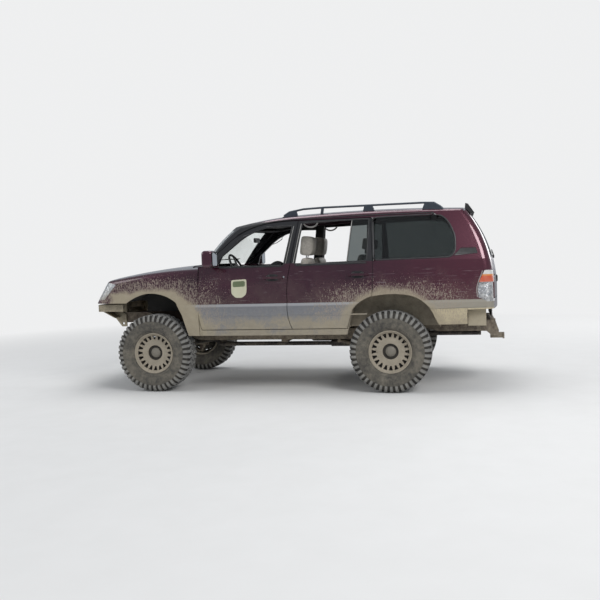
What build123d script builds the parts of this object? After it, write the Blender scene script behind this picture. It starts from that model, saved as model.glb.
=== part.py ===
from build123d import *
import os
from math import asin, cos, degrees, radians, sin, sqrt

# Lifted off-road wagon with a long roof, four side doors and a tailgate split into two leaves.
# Millimetres. +X forward, +Y left, +Z up. While it is drawn, x is counted from the middle of the
# wheelbase; every piece is shifted at the end so that the origin lies on the floor at the middle
# of the vehicle's length.

# Overall places
wheelbase = 2850
front_axle_x = wheelbase / 2
rear_axle_x = -wheelbase / 2
front_end_x = 2260
rear_end_x = -2720

# Wheels
tyre_radius = 466
tyre_width = 315
wheel_y = 845
rim_flange_radius = 245
rim_bead_radius = 230
rim_width = 245
spindle_radius = 30
spindle_clearance = 0.4

# Body heights
sill_bottom_z = 668
door_bottom_z = 738
moulding_top_z = 1040
belt_z = 1485
gate_split_z = 1300
roof_top_z = 2118

# Body section, as half widths at the heights above
sill_half_width = 930
body_half_width = 968
belt_half_width = 930
drip_half_width = 735
drip_z = 2015

# Curvature of the big surfaces
plan_radius = 30000
plan_mid_x = -300
roof_crown_radius = 5000
hood_crown_radius = 7000
tail_plan_radius = 5000
tail_lean_radius = 1440
nose_plan_radius = 9000
screen_radius = 1950
screen_slope = 42
screen_bow_radius = 1600
screen_mid_x = 668
screen_mid_z = 1880
roof_edge_radius = 75
tail_corner_radius = 100
nose_corner_radius = 100
hood_edge_radius = 70

# Thicknesses and gaps
door_gap = 8
door_skin = 12
rebate_depth = 17
frame_depth = 45
door_depth = 100
wall_depth = 60
cladding_depth = 7
flange_width = 28
pillar_share = 34
aperture_gap = 16
roof_depth = 35
hood_depth = 30
fender_depth = 12
cover_depth = 12
glass_depth = 5
seat_gap = 0.3
gate_bottom_z = 1044
cowl_top_z = 1490


def outline(start, *steps):
    """Flat closed outline. A step is the end of a straight run, or the middle and end of an arc."""
    edges = []
    here = start
    for step in steps:
        if isinstance(step[0], tuple):
            middle, end = step
            edges.append(ThreePointArc(here, middle, end))
        else:
            end = step
            edges.append(Line(here, end))
        here = end
    edges.append(Line(here, start))
    return make_face(edges)


def loop(start, *steps):
    """Closed line kept as runs of start, middle and end; the middle of a straight run is None."""
    runs = []
    here = start
    for step in steps:
        middle, end = step if isinstance(step[0], tuple) else (None, step)
        runs.append((here, middle, end))
        here = end
    runs.append((here, None, start))
    return runs


def grown(runs, amount=0):
    """The face inside a closed line, moved outward by amount, or inward where it is negative."""
    twice_area = sum(first[0] * last[1] - last[0] * first[1] for first, _, last in runs)
    distance = -amount if twice_area > 0 else amount
    normals = [arc_normals(*run) for run in runs]
    corners = [
        shifted(run[0], normals[index - 1][2], normals[index][0], distance)
        for index, run in enumerate(runs)
    ]
    edges = []
    for index, (first, middle, last) in enumerate(runs):
        start = corners[index]
        end = corners[(index + 1) % len(runs)]
        if middle is None:
            edges.append(Line(start, end))
        else:
            middle_normal = normals[index][1]
            edges.append(ThreePointArc(start, shifted(middle, middle_normal, middle_normal, distance), end))
    return make_face(edges)


def side_prism(face, y_low, y_high):
    """An outline drawn in x and z, carried from y_low to y_high."""
    return Pos(0, y_high, 0) * (Plane.XZ * extrude(face, amount=y_high - y_low))


def front_prism(face, x_low, x_high):
    """An outline drawn in y and z, carried from x_low to x_high."""
    return Pos(x_low, 0, 0) * (Plane.YZ * extrude(face, amount=x_high - x_low))


def plan_prism(face, z_low, z_high):
    """An outline drawn in x and y, carried from z_low to z_high."""
    return Pos(0, 0, z_low) * extrude(face, amount=z_high - z_low)


def block(x_low, x_high, y_low, y_high, z_low, z_high):
    """Box between the given limits."""
    return Pos((x_low + x_high) / 2, (y_low + y_high) / 2, (z_low + z_high) / 2) * Box(
        x_high - x_low, y_high - y_low, z_high - z_low
    )


def tube_y(x, z, radius, y_low, y_high):
    """Round bar across the vehicle."""
    return Pos(x, (y_low + y_high) / 2, z) * Rot(90, 0, 0) * Cylinder(radius, y_high - y_low)


def bar_between(start, end, radius):
    """Round bar from one point to another."""
    run = Vector(*end) - Vector(*start)
    return Plane(origin=start, z_dir=run) * Cylinder(
        radius, run.length, align=(Align.CENTER, Align.CENTER, Align.MIN)
    )


def mirrored(shape):
    """The same piece on the other side of the vehicle."""
    return mirror(shape, about=Plane.XZ)


def together(*shapes):
    """Pieces that share one node without being joined."""
    return Compound([solid for shape in shapes for solid in shape.solids()])


def both_sides(shape):
    """A piece and its mirror image in one node."""
    return together(shape, mirrored(shape))


def arc_normals(first, middle, last):
    """Unit vectors to the left of travel at the start, middle and end of a run; middle None is straight."""
    run = (last[0] - first[0], last[1] - first[1])
    length = sqrt(run[0] ** 2 + run[1] ** 2)
    left = (-run[1] / length, run[0] / length)
    if middle is None:
        return left, left, left
    ax, ay = middle[0] - first[0], middle[1] - first[1]
    bx, by = run
    twice_area = 2 * (ax * by - ay * bx)
    a_square = ax * ax + ay * ay
    b_square = bx * bx + by * by
    centre = (
        first[0] + (by * a_square - ay * b_square) / twice_area,
        first[1] + (ax * b_square - bx * a_square) / twice_area,
    )
    normals = []
    for point in (first, middle, last):
        spoke = (centre[0] - point[0], centre[1] - point[1])
        radius = sqrt(spoke[0] ** 2 + spoke[1] ** 2)
        side = 1 if spoke[0] * left[0] + spoke[1] * left[1] > 0 else -1
        normals.append((side * spoke[0] / radius, side * spoke[1] / radius))
    return tuple(normals)


def shifted(point, normal_before, normal_after, distance):
    """A corner of a run moved so that both runs that meet there move by the same distance."""
    total = (normal_before[0] + normal_after[0], normal_before[1] + normal_after[1])
    reach = distance * 2 / (total[0] ** 2 + total[1] ** 2)
    return (point[0] + total[0] * reach, point[1] + total[1] * reach)


def skin_steps(chain, distance):
    """A chain of runs moved to its left: start point, then steps for outline()."""
    runs = [(chain[i], chain[i + 1], chain[i + 2]) for i in range(0, len(chain) - 2, 2)]
    normals = [arc_normals(*run) for run in runs]
    start = shifted(runs[0][0], normals[0][0], normals[0][0], distance)
    steps = []
    for index, (first, middle, last) in enumerate(runs):
        after = normals[index + 1][0] if index + 1 < len(runs) else normals[index][2]
        end = shifted(last, normals[index][2], after, distance)
        if middle is None:
            steps.append(end)
        else:
            steps.append((shifted(middle, normals[index][1], normals[index][1], distance), end))
    return start, steps


# Big surfaces of the body, each as a solid whose skin can be moved inward by an inset

left_half = block(-3200, 2600, 0, 1300, 300, 2500)

side_chain = [
    (sill_half_width - 14, 500),
    (body_half_width, moulding_top_z - 10),
    (belt_half_width, belt_z),
    (drip_half_width + 61, drip_z - 145),
    (drip_half_width - 112, drip_z + 235),
]

roof_chain = [
    (-3000, 2045),
    (-1300, roof_top_z),
    (-435, 2099),
    (100, 2053),
    (600, 1952),
    None,
    (900, 1862),
]

hood_chain = [(500, 1520), (1400, 1485), (2400, 1318)]

nose_chain = [(2258, 400), None, (2250, 1085), (2103, 1326), (1950, 1560)]


def on_arc(first, middle, last, height):
    """Point at the given height on the circle through three points, on its outer side."""
    inward = arc_normals(first, middle, last)[0]
    run = (last[0] - first[0], last[1] - first[1])
    radius = (run[0] ** 2 + run[1] ** 2) / (2 * (run[0] * inward[0] + run[1] * inward[1]))
    centre = (first[0] + inward[0] * radius, first[1] + inward[1] * radius)
    return (centre[0] + sqrt(radius**2 - (height - centre[1]) ** 2), height)


# The fender's wall goes on upward in the curve that it has below the belt
lower_arc = side_chain[:3]
fender_chain = [side_chain[0], side_chain[1], on_arc(*lower_arc, 1620)]


def side_mass(inset, chain=side_chain):
    """Everything inboard of the left side wall, turned about a distant upright axis."""
    start, steps = skin_steps(chain, inset)
    top_z = steps[-1][1][1]
    face = outline(start, *steps, (-400, top_z), (-400, start[1]))
    section = Pos(plan_mid_x, 0, 0) * (Plane.YZ * face)
    half_turn = degrees(asin(2800 / (plan_radius - body_half_width)))
    axis = Axis((plan_mid_x, body_half_width - plan_radius, 0), (0, 0, 1))
    return revolve(section.rotate(axis, -half_turn), axis=axis, revolution_arc=2 * half_turn)


def crowned(chain, inset, top_z, crown_radius):
    """Everything below a side view line turned about a distant lengthwise axis, which crowns it."""
    start, steps = skin_steps(chain, -inset)
    last = steps[-1][1] if isinstance(steps[-1][0], tuple) else steps[-1]
    face = Plane.XZ * outline(start, *steps, (last[0], 400), (start[0], 400))
    axis = Axis((0, 0, top_z - crown_radius), (1, 0, 0))
    half_turn = degrees(asin(1200 / (crown_radius - 1750)))
    return revolve(face.rotate(axis, -half_turn), axis=axis, revolution_arc=2 * half_turn)


def roof_mass(inset):
    """Everything below the crowned roof."""
    return crowned(roof_chain, inset, roof_top_z, roof_crown_radius)


def hood_mass(inset):
    """Everything below the crowned hood and fender tops."""
    return crowned(hood_chain, inset, 1510, hood_crown_radius)


def turned_in_plan(profile, surface_x, plan_turn_radius):
    """Side view outline turned about a distant upright axis behind or ahead of its surface."""
    axis = Axis((surface_x - plan_turn_radius, 0, 0), (0, 0, 1))
    half_turn = degrees(asin(1200 / abs(plan_turn_radius)))
    start = (Plane.XZ * profile).rotate(axis, -half_turn)
    return revolve(start, axis=axis, revolution_arc=2 * half_turn)


def ahead_of_nose(inset):
    """The space ahead of the nose, which is curved in plan."""
    start, steps = skin_steps(nose_chain, inset)
    face = outline(start, *steps, (2700, steps[-1][1][1]), (2700, start[1]))
    return turned_in_plan(face, nose_chain[0][0], nose_plan_radius)


def behind_tail(inset):
    """The space behind the tail, which leans forward above the split and is curved in plan."""
    lean_z = 1150
    tail_x = -2640
    top_z = 2250
    rise = top_z - lean_z
    top_x = tail_x + tail_lean_radius - sqrt(tail_lean_radius**2 - rise**2)
    mid_angle = asin(rise / tail_lean_radius) / 2
    middle = (
        tail_x + tail_lean_radius * (1 - cos(mid_angle)),
        lean_z + tail_lean_radius * sin(mid_angle),
    )
    tail_chain = [(tail_x, 400), None, (tail_x, lean_z), middle, (top_x, top_z)]
    start, steps = skin_steps(tail_chain, -inset)
    face = outline(start, *steps, (-3100, steps[-1][1][1]), (-3100, start[1]))
    return turned_in_plan(face, tail_x, -tail_plan_radius)


def screen_mass(inset):
    """Everything behind the windscreen, a barrel about an axis along its slope."""
    lean = radians(screen_slope)
    along = Vector(-cos(lean), 0, sin(lean))
    inward = Vector(-sin(lean), 0, -cos(lean))
    middle = Vector(screen_mid_x, 0, screen_mid_z) + inward * screen_radius
    reach = 1300
    wide = screen_radius - inset
    bow = screen_bow_radius - inset
    narrow = wide - bow + sqrt(bow**2 - reach**2)
    half = outline((0, -reach), (narrow, -reach), ((wide, 0), (narrow, reach)), (0, reach))
    barrel = revolve(Plane.XZ * half, axis=Axis.Z)
    return Plane(origin=middle, z_dir=along) * barrel


def upright_corners(shape, x_low, x_high):
    """Edges where an end of the body meets its side, between two places along it."""
    found = []
    for edge in shape.edges():
        box = edge.bounding_box()
        if box.size.Z > 30 and box.min.Y > 400 and x_low < box.min.X and box.max.X < x_high:
            found.append(edge)
    return found


def top_rim(shape, x_low, x_high, z_low, z_high):
    """Edges round the top surface, without those on the middle plane or across the surface."""
    found = []
    for edge in shape.edges():
        box = edge.bounding_box()
        inside = x_low < box.max.X and box.min.X < x_high and z_low < box.min.Z and box.max.Z < z_high
        across = box.size.X < 1 and box.size.Y > 100
        if inside and box.max.Y > 1 and not across:
            found.append(edge)
    return found


def cabin_mass(inset):
    """Left half of the cabin and load space."""
    walls = (side_mass(inset) & left_half) - behind_tail(inset)
    walls = fillet(upright_corners(walls, -3000, -1500), tail_corner_radius - inset)
    mass = walls & roof_mass(inset)
    return fillet(top_rim(mass, -2500, 895, 1800 - inset, 2090), roof_edge_radius - inset)


def front_mass(inset):
    """Left half of the body ahead of the doors."""
    walls = (side_mass(inset, fender_chain) & left_half) - ahead_of_nose(inset)
    walls = fillet(upright_corners(walls, 1500, 2400), nose_corner_radius - inset)
    mass = walls & hood_mass(inset)
    return fillet(top_rim(mass, 520, 2300, 1300 - inset, 1480), hood_edge_radius - inset)


def ahead_of_screen(inset):
    """The space ahead of the windscreen and above the cowl."""
    return block(-200, 1400, -10, 1300, cowl_top_z, 2500) - screen_mass(inset)


# Skins and masses that several pieces are cut from

cabin_insets = (0, door_skin, roof_depth, wall_depth)
cabin = {inset: cabin_mass(inset) - ahead_of_screen(inset) for inset in cabin_insets}
front = {inset: front_mass(inset) for inset in (0, fender_depth, hood_depth, wall_depth)}
wall_sides = {
    inset: side_mass(inset) & left_half
    for inset in (-cladding_depth, 0, 3, 3 + glass_depth, door_skin, rebate_depth, frame_depth, door_depth)
}

# Outlines seen from the side, in x and z

front_door_line = loop(
    (806, door_bottom_z),
    ((838, 880), (842, 1044)),
    ((842, 1200), (834, 1330)),
    (826, 1480),
    (762, 1496),
    (425, 1795),
    ((215, 1915), (-30, 1978)),
    ((-200, 1992), (-372, 1996)),
    (-289.5, 1462),
    ((-256, 1240), (-254, 1035)),
    ((-262, 870), (-304, door_bottom_z)),
)
rear_door_line = loop(
    (-304, door_bottom_z),
    ((-262, 870), (-254, 1035)),
    ((-256, 1240), (-289.5, 1462)),
    (-372, 1996),
    (-1215, 1996),
    (-1250, 1494),
    (-1240, 1150),
    (-1228, 1096),
    ((-1110, 1045), (-1005, 950)),
    (-945, door_bottom_z),
)
front_window_line = loop(
    (-209, 1484),
    (-292, 1931),
    ((-190, 1938), (-90, 1934)),
    ((150, 1880), (370, 1745)),
    (545, 1600),
    (588, 1484),
)
rear_window_line = loop(
    (-353, 1486),
    (-424, 1958),
    (-1000, 1972),
    (-950, 1494),
)
rear_light_line = loop(
    (-958, 1495),
    (-1007, 1972),
    (-1196, 1972),
    (-1176, 1510),
)
quarter_window_line = loop(
    (-1268, 1510),
    (-1252, 1988),
    (-1870, 1992),
    ((-2010, 1978), (-2088, 1895)),
    ((-2148, 1780), (-2158, 1650)),
    ((-2150, 1570), (-2106, 1524)),
)
front_arch_line = loop(
    (962, 600),
    (1051, 912),
    (1129, 1072),
    ((1449, 1186), (1787, 1072)),
    (2400, 1072),
    (2400, 600),
)
rear_arch_line = loop(
    (-925, 600),
    (-1005, 950),
    ((-1110, 1045), (-1228, 1096)),
    ((-1430, 1119), (-1640, 1103)),
    ((-1820, 1010), (-1925, 850)),
    (-1970, 765),
    (-2281, 765),
    (-2281, 926),
    (-2900, 935),
    (-2900, 600),
)
tail_lamp_line = loop(
    (-2452, 1312),
    (-2420, 1250),
    (-2397, 1160),
    (-2405, 1060),
    (-2500, 1014),
    (-2900, 1014),
    (-2900, 1357),
    (-2476, 1357),
)
headlamp_line = loop(
    (2086, 1118),
    (1925, 1302),
    (2008, 1322),
    (2400, 1322),
    (2400, 1108),
)
cover_line = loop(
    (2400, 1072),
    (1787, 1072),
    ((1660, 1142), (1527, 1181)),
    (1598, 1258),
    (1962, 1258),
    (2086, 1116),
    (2400, 1106),
)

pillar_shift = Pos(pillar_share, 0, 0)


def front_inner(face_inset):
    """The front door's inner outline, narrowed at its rear edge to leave the middle pillar."""
    face = grown(front_door_line, -face_inset)
    return face & (pillar_shift * face)


def rear_inner(face_inset):
    """The rear door's inner outline, narrowed at its front edge to leave the middle pillar."""
    face = grown(rear_door_line, -face_inset)
    return face & (Pos(-pillar_share, 0, 0) * face)


def door_panel(door_line, inner_face, windows):
    """A side door: outer skin with its proud moulding, and the thick inner part behind it."""
    skin_prism = side_prism(grown(door_line, -door_gap / 2), 500, 1200)
    skin = (wall_sides[0] - wall_sides[door_skin]) & skin_prism
    moulding_zone = block(-3000, 3000, 500, 1200, 0, moulding_top_z)
    moulding = (wall_sides[-cladding_depth] - wall_sides[0]) & skin_prism & moulding_zone
    inner_prism = side_prism(inner_face, 500, 1200)
    below_belt = block(-3000, 3000, 500, 1200, 0, belt_z - 5)
    lower = (wall_sides[door_skin] - wall_sides[door_depth]) & inner_prism & below_belt
    upper = (wall_sides[door_skin] - wall_sides[frame_depth]) & inner_prism
    door = skin + moulding + lower + upper
    for window in windows:
        door -= side_prism(grown(window), 500, 1200)
    return door


def make_front_door():
    """Front side door with its window opening and mirror sail."""
    door = door_panel(front_door_line, front_inner(flange_width), [front_window_line])
    return door + door_handle(31, -205, 1372, 1306)


def make_rear_door():
    """Rear side door with its two window openings."""
    door = door_panel(rear_door_line, rear_inner(flange_width), [rear_window_line, rear_light_line])
    return door + door_handle(-965, -1200, 1382, 1316)


def door_handle(front_x, rear_x, top_z, bottom_z):
    """Pull handle standing 28 mm proud on two feet that reach into the door skin."""
    middle_z = (top_z + bottom_z) / 2
    handle_y = body_half_width - 8
    grip = block(rear_x, front_x, handle_y + 12, handle_y + 28, middle_z - 14, middle_z + 14)
    grip = fillet(grip.edges().filter_by(Axis.Z), 7)
    feet = [
        block(x - 16, x + 16, handle_y - 22, handle_y + 14, middle_z - 12, middle_z + 12)
        for x in (front_x - 24, rear_x + 24)
    ]
    return grip + feet[0] + feet[1]


def make_rear_light():
    """Small fixed glass in the rear door, let into its frame."""
    pane = wall_sides[3] - wall_sides[3 + glass_depth]
    return pane & side_prism(grown(rear_light_line, -seat_gap), 500, 1200)


def make_quarter_glass():
    """Fixed glass of the load space side."""
    pane = wall_sides[3] - wall_sides[3 + glass_depth]
    return pane & side_prism(grown(quarter_window_line, -seat_gap), 500, 1200)


glass_line = loop(
    (0, 1515),
    (812, 1515),
    ((766, 1735), (682, 1915)),
    (0, 1935),
)
gate_line = loop(
    (-10, gate_bottom_z),
    (752, gate_bottom_z),
    (766, 1250),
    (762, gate_split_z),
    (666, 2035),
    (-10, 2120),
)
rear_glass_line = loop(
    (0, 1500),
    (676, 1500),
    ((700, 1530), (690, 1580)),
    (626, 1930),
    ((606, 1972), (560, 1985)),
    (0, 2010),
)
rear_strip_line = loop(
    (-1890, 945),
    (-1965, 945),
    (-2500, 960),
    (-2500, 1034),
    (-1780, 1046),
)
roof_side_y = 655
roof_rear_x = -2262
roof_front_z = 1935
fender_rear_x = 842
pillar_front_x = 838
pillar_step_z = 1400
rocker_top_z = 733


def make_body_side():
    """Left side of the body: pillars, roof rail, sill and rear quarter, as one pressed wall."""
    rocker_zone = block(-1900, 800, 500, 1200, 0, rocker_top_z)
    rocker = (wall_sides[-cladding_depth] - wall_sides[0]) & rocker_zone
    strip_zone = side_prism(grown(rear_strip_line), 500, 1200)
    strip = (wall_sides[-cladding_depth] - wall_sides[0]) & strip_zone
    wall = (cabin[0] - cabin[wall_depth]) + rocker + strip
    outer_cut = side_prism(grown(front_door_line, door_gap / 2), 400, 1200)
    outer_cut += side_prism(grown(rear_door_line, door_gap / 2), 400, 1200)
    wall -= outer_cut - wall_sides[rebate_depth]
    inset = flange_width - aperture_gap
    for opening in (front_inner(inset), rear_inner(inset), grown(quarter_window_line)):
        wall -= side_prism(opening, 400, 1200)
    wall -= side_prism(grown(rear_arch_line), 0, 1200)
    wall -= side_prism(grown(tail_lamp_line, seat_gap), 745, 1200)
    wall -= front_prism(grown(gate_line, door_gap / 2), -2900, roof_rear_x)
    wall -= front_prism(grown(screen_hole_line), 100, 1300)
    wall -= block(-3000, 1300, -10, roof_side_y, roof_front_z, 2200)
    wall -= block(-3000, 1300, -10, 1200, 0, sill_bottom_z)
    wall -= block(pillar_front_x, 1300, -10, 1200, 0, pillar_step_z) - wall_sides[fender_depth]
    wall -= block(pillar_front_x, 1300, -10, 1200, pillar_step_z, cowl_top_z)
    wall -= block(pillar_front_x + 42, 1300, -10, 1200, 0, 2200)
    pad_skin = Pos(0, -seat_gap, 0) * (wall_sides[door_skin] - wall_sides[rebate_depth])
    pad_skin += wall_sides[rebate_depth] - wall_sides[frame_depth]
    for rear_x, ahead_x, low_z in door_pads:
        wall += pad_skin & block(rear_x, ahead_x, 500, 1200, low_z, low_z + door_pad_height)
    for low_y in gate_pads:
        high_z = gate_bottom_z + door_gap / 2 - seat_gap
        wall += block(-2585, -2560, low_y, low_y + 50, gate_pad_low_z, high_z)
    return biggest(wall)


# Hinge and latch seats behind the edges of the door skins
door_pads = [
    (830.5, 837.5, 880),
    (830.5, 837.5, 1280),
    (-244, -214, 1120),
    (-296, -264, 880),
    (-296, -268, 1280),
    (-1235.5, -1229, 1200),
]
door_pad_height = 60
gate_pads = [180, 480]
gate_pad_low_z = 1010


def biggest(shape):
    """The largest solid of a cut piece; crumbs cut off beside it are dropped."""
    return max(shape.solids(), key=lambda solid: solid.volume)


# The screen's hole in the body goes on down past the glass to where the cowl begins
screen_hole_line = loop(
    (-20, 1400),
    (812 + seat_gap, 1400),
    (812 + seat_gap, 1515),
    ((766 + seat_gap, 1735), (682 + seat_gap, 1915 + seat_gap)),
    (-20, roof_front_z + 4 * seat_gap),
)


def make_roof_panel():
    """Roof skin between the two side rails, down to the screen and back to the tailgate."""
    zone = block(-3000, 1300, 0, roof_side_y, roof_front_z, 2300)
    half = (cabin[0] - cabin[roof_depth]) & zone
    half -= block(-3000, roof_rear_x, -10, 1300, 0, 2300)
    half -= front_prism(grown(screen_hole_line), 100, 1300)
    lip = (cabin[roof_depth] - cabin[wall_depth]) & block(-2300, -2240, 0, 560, 1900, 2300)
    half += lip & block(roof_rear_x, 0, 0, 900, 1900, 2300)
    half += Pos(0, 0, -seat_gap) * (lip & block(-2900, roof_rear_x + 8, 0, 900, 1900, 2300))
    return half + mirrored(half)


def make_windscreen():
    """Curved laminated screen in its frame."""
    pane = screen_mass(2) - screen_mass(2 + glass_depth)
    half = pane & front_prism(grown(glass_line), 300, 1300)
    return half + mirrored(half)


# Hood, fenders and the pieces of the front end

hood_rear_x = 1118
hood_rear_radius = 1800
hood_lip_z = 1330
hood_edge_y = 735
hood_nose_y = 640
lamp_inner_y = 530
cowl_crown_z = 1496


def inside_hood_line(side_gap):
    """The space between the hood's two edges, left half, moved outward by side_gap."""
    face = outline(
        (600, -10),
        (600, hood_edge_y + side_gap),
        (1300, hood_edge_y + side_gap),
        (2100, hood_nose_y + side_gap),
        (2500, hood_nose_y + side_gap),
        (2500, -10),
    )
    return plan_prism(face, 1000, 1700)


def cowl_arc(radius):
    """Upright cylinder whose front follows the foot of the screen."""
    return Pos(hood_rear_x - hood_rear_radius, 0, 1350) * Cylinder(radius, 800)


def make_hood():
    """Hood lid: crowned skin from the cowl to the lamps."""
    half = (front[0] - front[hood_depth]) & inside_hood_line(-door_gap / 2)
    half &= block(700, 2400, 0, 900, hood_lip_z, 1700)
    half -= cowl_arc(hood_rear_radius)
    half = biggest(half)
    return half + mirrored(half)


def make_fender():
    """Left front fender: side wall with its wheel arch, and the strip of top beside the hood."""
    shell = front[0] - front[fender_depth]
    moulding_zone = block(fender_rear_x, 1120, 0, 1300, 0, moulding_top_z)
    shell += (wall_sides[-cladding_depth] - wall_sides[0]) & moulding_zone
    shell &= block(fender_rear_x, 2400, -10, 1300, sill_bottom_z, 1700)
    shell -= inside_hood_line(door_gap / 2)
    shell -= side_prism(grown(front_arch_line), -10, 1300)
    shell -= side_prism(grown(cover_line, seat_gap), -10, 1300)
    shell -= side_prism(grown(headlamp_line, seat_gap), -10, 1300)
    screen_foot = screen_mass(-seat_gap) - screen_mass(20 + seat_gap)
    shell -= screen_foot & block(600, 1300, 0, 812 + seat_gap, 1440 - seat_gap, 1700)
    return biggest(shell)


def make_cowl():
    """Dark scuttle panel between the hood's rear edge and the foot of the screen."""
    reach = hood_edge_y - door_gap
    place = Pos(1000, 0, cowl_crown_z - hood_crown_radius)
    crown = place * Rot(0, 90, 0) * Cylinder(hood_crown_radius, 800)
    plenum = crown & block(fender_rear_x, 1300, -reach, reach, 1440, 1600)
    plenum = (plenum & cowl_arc(hood_rear_radius - door_gap)) - screen_mass(-seat_gap)
    lip = (screen_mass(0) - screen_mass(20)) & block(fender_rear_x, 1300, -812, 812, 1440, 1515 - seat_gap)
    return together(plenum, lip)


def make_front_cover():
    """Front bumper cover, trimmed off along the bottom."""
    half = (front[0] - front[cover_depth]) & side_prism(grown(cover_line), -10, 1200)
    return half + mirrored(half)


def make_headlamp():
    """Left headlamp block that wraps round the front corner."""
    lamp = (front[0] - front[wall_depth]) & side_prism(grown(headlamp_line), lamp_inner_y, 1200)
    return biggest(lamp - side_prism(grown(cover_line, seat_gap), -10, 1300))


def make_grille():
    """Open grille between the lamps: a frame and three bars that follow the nose."""
    top_z = hood_lip_z - seat_gap
    zone = block(1900, 2400, 0, lamp_inner_y - seat_gap, 1100, top_z)
    holes = [
        block(1900, 2400, -10, lamp_inner_y - 26, low, low + grille_slot)
        for low in (1132, 1132 + grille_pitch, 1132 + 2 * grille_pitch, 1132 + 3 * grille_pitch)
    ]
    half = (front[fender_depth] - front[hood_depth]) & zone
    half -= side_prism(grown(cover_line, seat_gap), -10, 1300)
    for hole in holes:
        half -= hole
    return half + mirrored(half)


grille_slot = 28
grille_pitch = 44
carrier_rear_x = 2000
rail_front_x = 2076
rail_inner_y = 360
rail_outer_y = 440
horn_top_z = 930
horn_bottom_z = 800


def make_front_carrier():
    """Shelf behind the bumper cover, on two legs that stand on the frame's front ends."""
    shelf = front[cover_depth] & block(carrier_rear_x, 2400, -10, 640, 1076, 1104)
    leg = block(carrier_rear_x, rail_front_x, rail_inner_y, rail_outer_y, horn_top_z, 1076)
    half = shelf + leg
    return half + mirrored(half)


bar_bottom_z = 965
bar_top_z = 1050


def make_front_bar():
    """Welded steel bar across the nose with side returns, sloped under-plate and tow plates."""
    plan = outline(
        (2120, 0),
        (front_end_x, 0),
        (front_end_x, 660),
        (2225, 765),
        (1880, 800),
        (1880, 745),
        (2120, 700),
    )
    beam = plan_prism(plan, bar_bottom_z, bar_top_z)
    foot = block(rail_front_x, 2125, rail_inner_y, rail_outer_y, 880, bar_top_z)
    under = side_prism(outline((2255, 966), (2255, 955), (2092, 868), (2084, 877)), 0, 600)
    tow_outline = outline((2000, 750), (2065, 750), (2150, 860), (2150, 970), (2090, 970), (2000, 900))
    tow = side_prism(tow_outline, rail_outer_y, rail_outer_y + 20) - tube_y(2045, 790, 16, 400, 500)
    half = beam + foot + under + tow
    return half + mirrored(half)


# Chassis frame

rail_low_z = 560
rail_high_z = 690
floor_bottom_z = 735
load_floor_z = 1030


def make_chassis_rail():
    """Left frame rail with its body mounts and spring towers."""
    rail = side_prism(
        outline(
            (rail_front_x, horn_bottom_z),
            (rail_front_x, horn_top_z),
            (1720, horn_top_z),
            (960, rail_high_z),
            (-960, rail_high_z),
            (-1210, 850),
            (-1740, 850),
            (-1990, 780),
            (-2600, 780),
            (-2600, 640),
            (-1950, 640),
            (-1700, 720),
            (-1250, 720),
            (-1000, rail_low_z),
            (1000, rail_low_z),
            (1760, horn_bottom_z),
        ),
        rail_inner_y,
        rail_outer_y,
    )
    mount_y = (rail_inner_y + rail_outer_y) / 2
    mounts = [(x, rail_high_z, floor_bottom_z) for x in (620, -200, -820)]
    mounts += [(-1520, 850, load_floor_z - 30), (-2370, 780, load_floor_z - 30)]
    for x, low, high in mounts:
        rail += Pos(x, mount_y, (low + high) / 2) * Cylinder(body_mount_radius, high - low)
    for x in (front_axle_x - lower_pivot_reach, front_axle_x + lower_pivot_reach):
        rail += block(x - 32, x + 32, rail_outer_y - 20, lower_pivot_y - 28, lower_pivot_z - 20, 770)
    for x in [front_axle_x + offset for offset in upper_pivots]:
        bracket = block(x - 25, x + 25, rail_outer_y - 20, upper_pivot_y - 20, -20, 20)
        rail += Pos(0, 0, upper_pivot_z) * bracket
    rail += block(1430, 1570, rail_outer_y - 10, spring_y + 54, spring_top_z, spring_top_z + 20)
    rail += block(1430, 1442, rail_outer_y - 10, 530, 790, spring_top_z)
    rail += block(-1520, -1350, rail_outer_y - 10, 610, rear_spring_top_z, rear_spring_top_z + 18)
    return rail


spring_top_z = 880
rear_spring_top_z = 800
body_mount_radius = 34


def make_crossmembers():
    """Crossmembers between the rails."""
    places = [
        (1960, 2040, 815, 895),
        (1050, 1130, 580, 645),
        (-100, -20, 520, 600),
        (-960, -880, 590, 660),
        (-1710, -1630, 740, 820),
        (-2595, -2520, 655, 770),
    ]
    reach = rail_inner_y
    return together(*[block(rear, ahead, -reach, reach, low, high) for rear, ahead, low, high in places])


receiver_size = 63.5
receiver_bore = 50.8
receiver_z = 544.75


def make_hitch():
    """Tow hitch: square receiver tube under a crossbar between two plates on the rails."""
    half_size = receiver_size / 2
    bar_low = receiver_z + half_size
    bar_high = bar_low + receiver_size
    hitch = block(-2620, -2556, -rail_outer_y, rail_outer_y, bar_low, bar_high)
    tube = block(rear_end_x, -2556, -half_size, half_size, receiver_z - half_size, receiver_z + half_size)
    collar = block(rear_end_x, rear_end_x + 20, -40, 40, receiver_z - 40, receiver_z + 31)
    plate = outline((-2440, 770), (-2596, 770), (-2636, 652), (-2636, 590), (-2556, 590), (-2430, 700))
    for side in (-1, 1):
        low = rail_outer_y if side > 0 else -rail_outer_y - 14
        hitch += side_prism(plate, low, low + 14)
    hitch = hitch + tube + collar
    half_bore = receiver_bore / 2
    bore = block(-2800, -2500, -half_bore, half_bore, -half_bore, half_bore)
    return hitch - Pos(0, 0, receiver_z) * bore


# Floor, firewall and wheelhouses

firewall_x = 850
firewall_depth = 25
wheelhouse_y = 642
tunnel_half_width = 150


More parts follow.
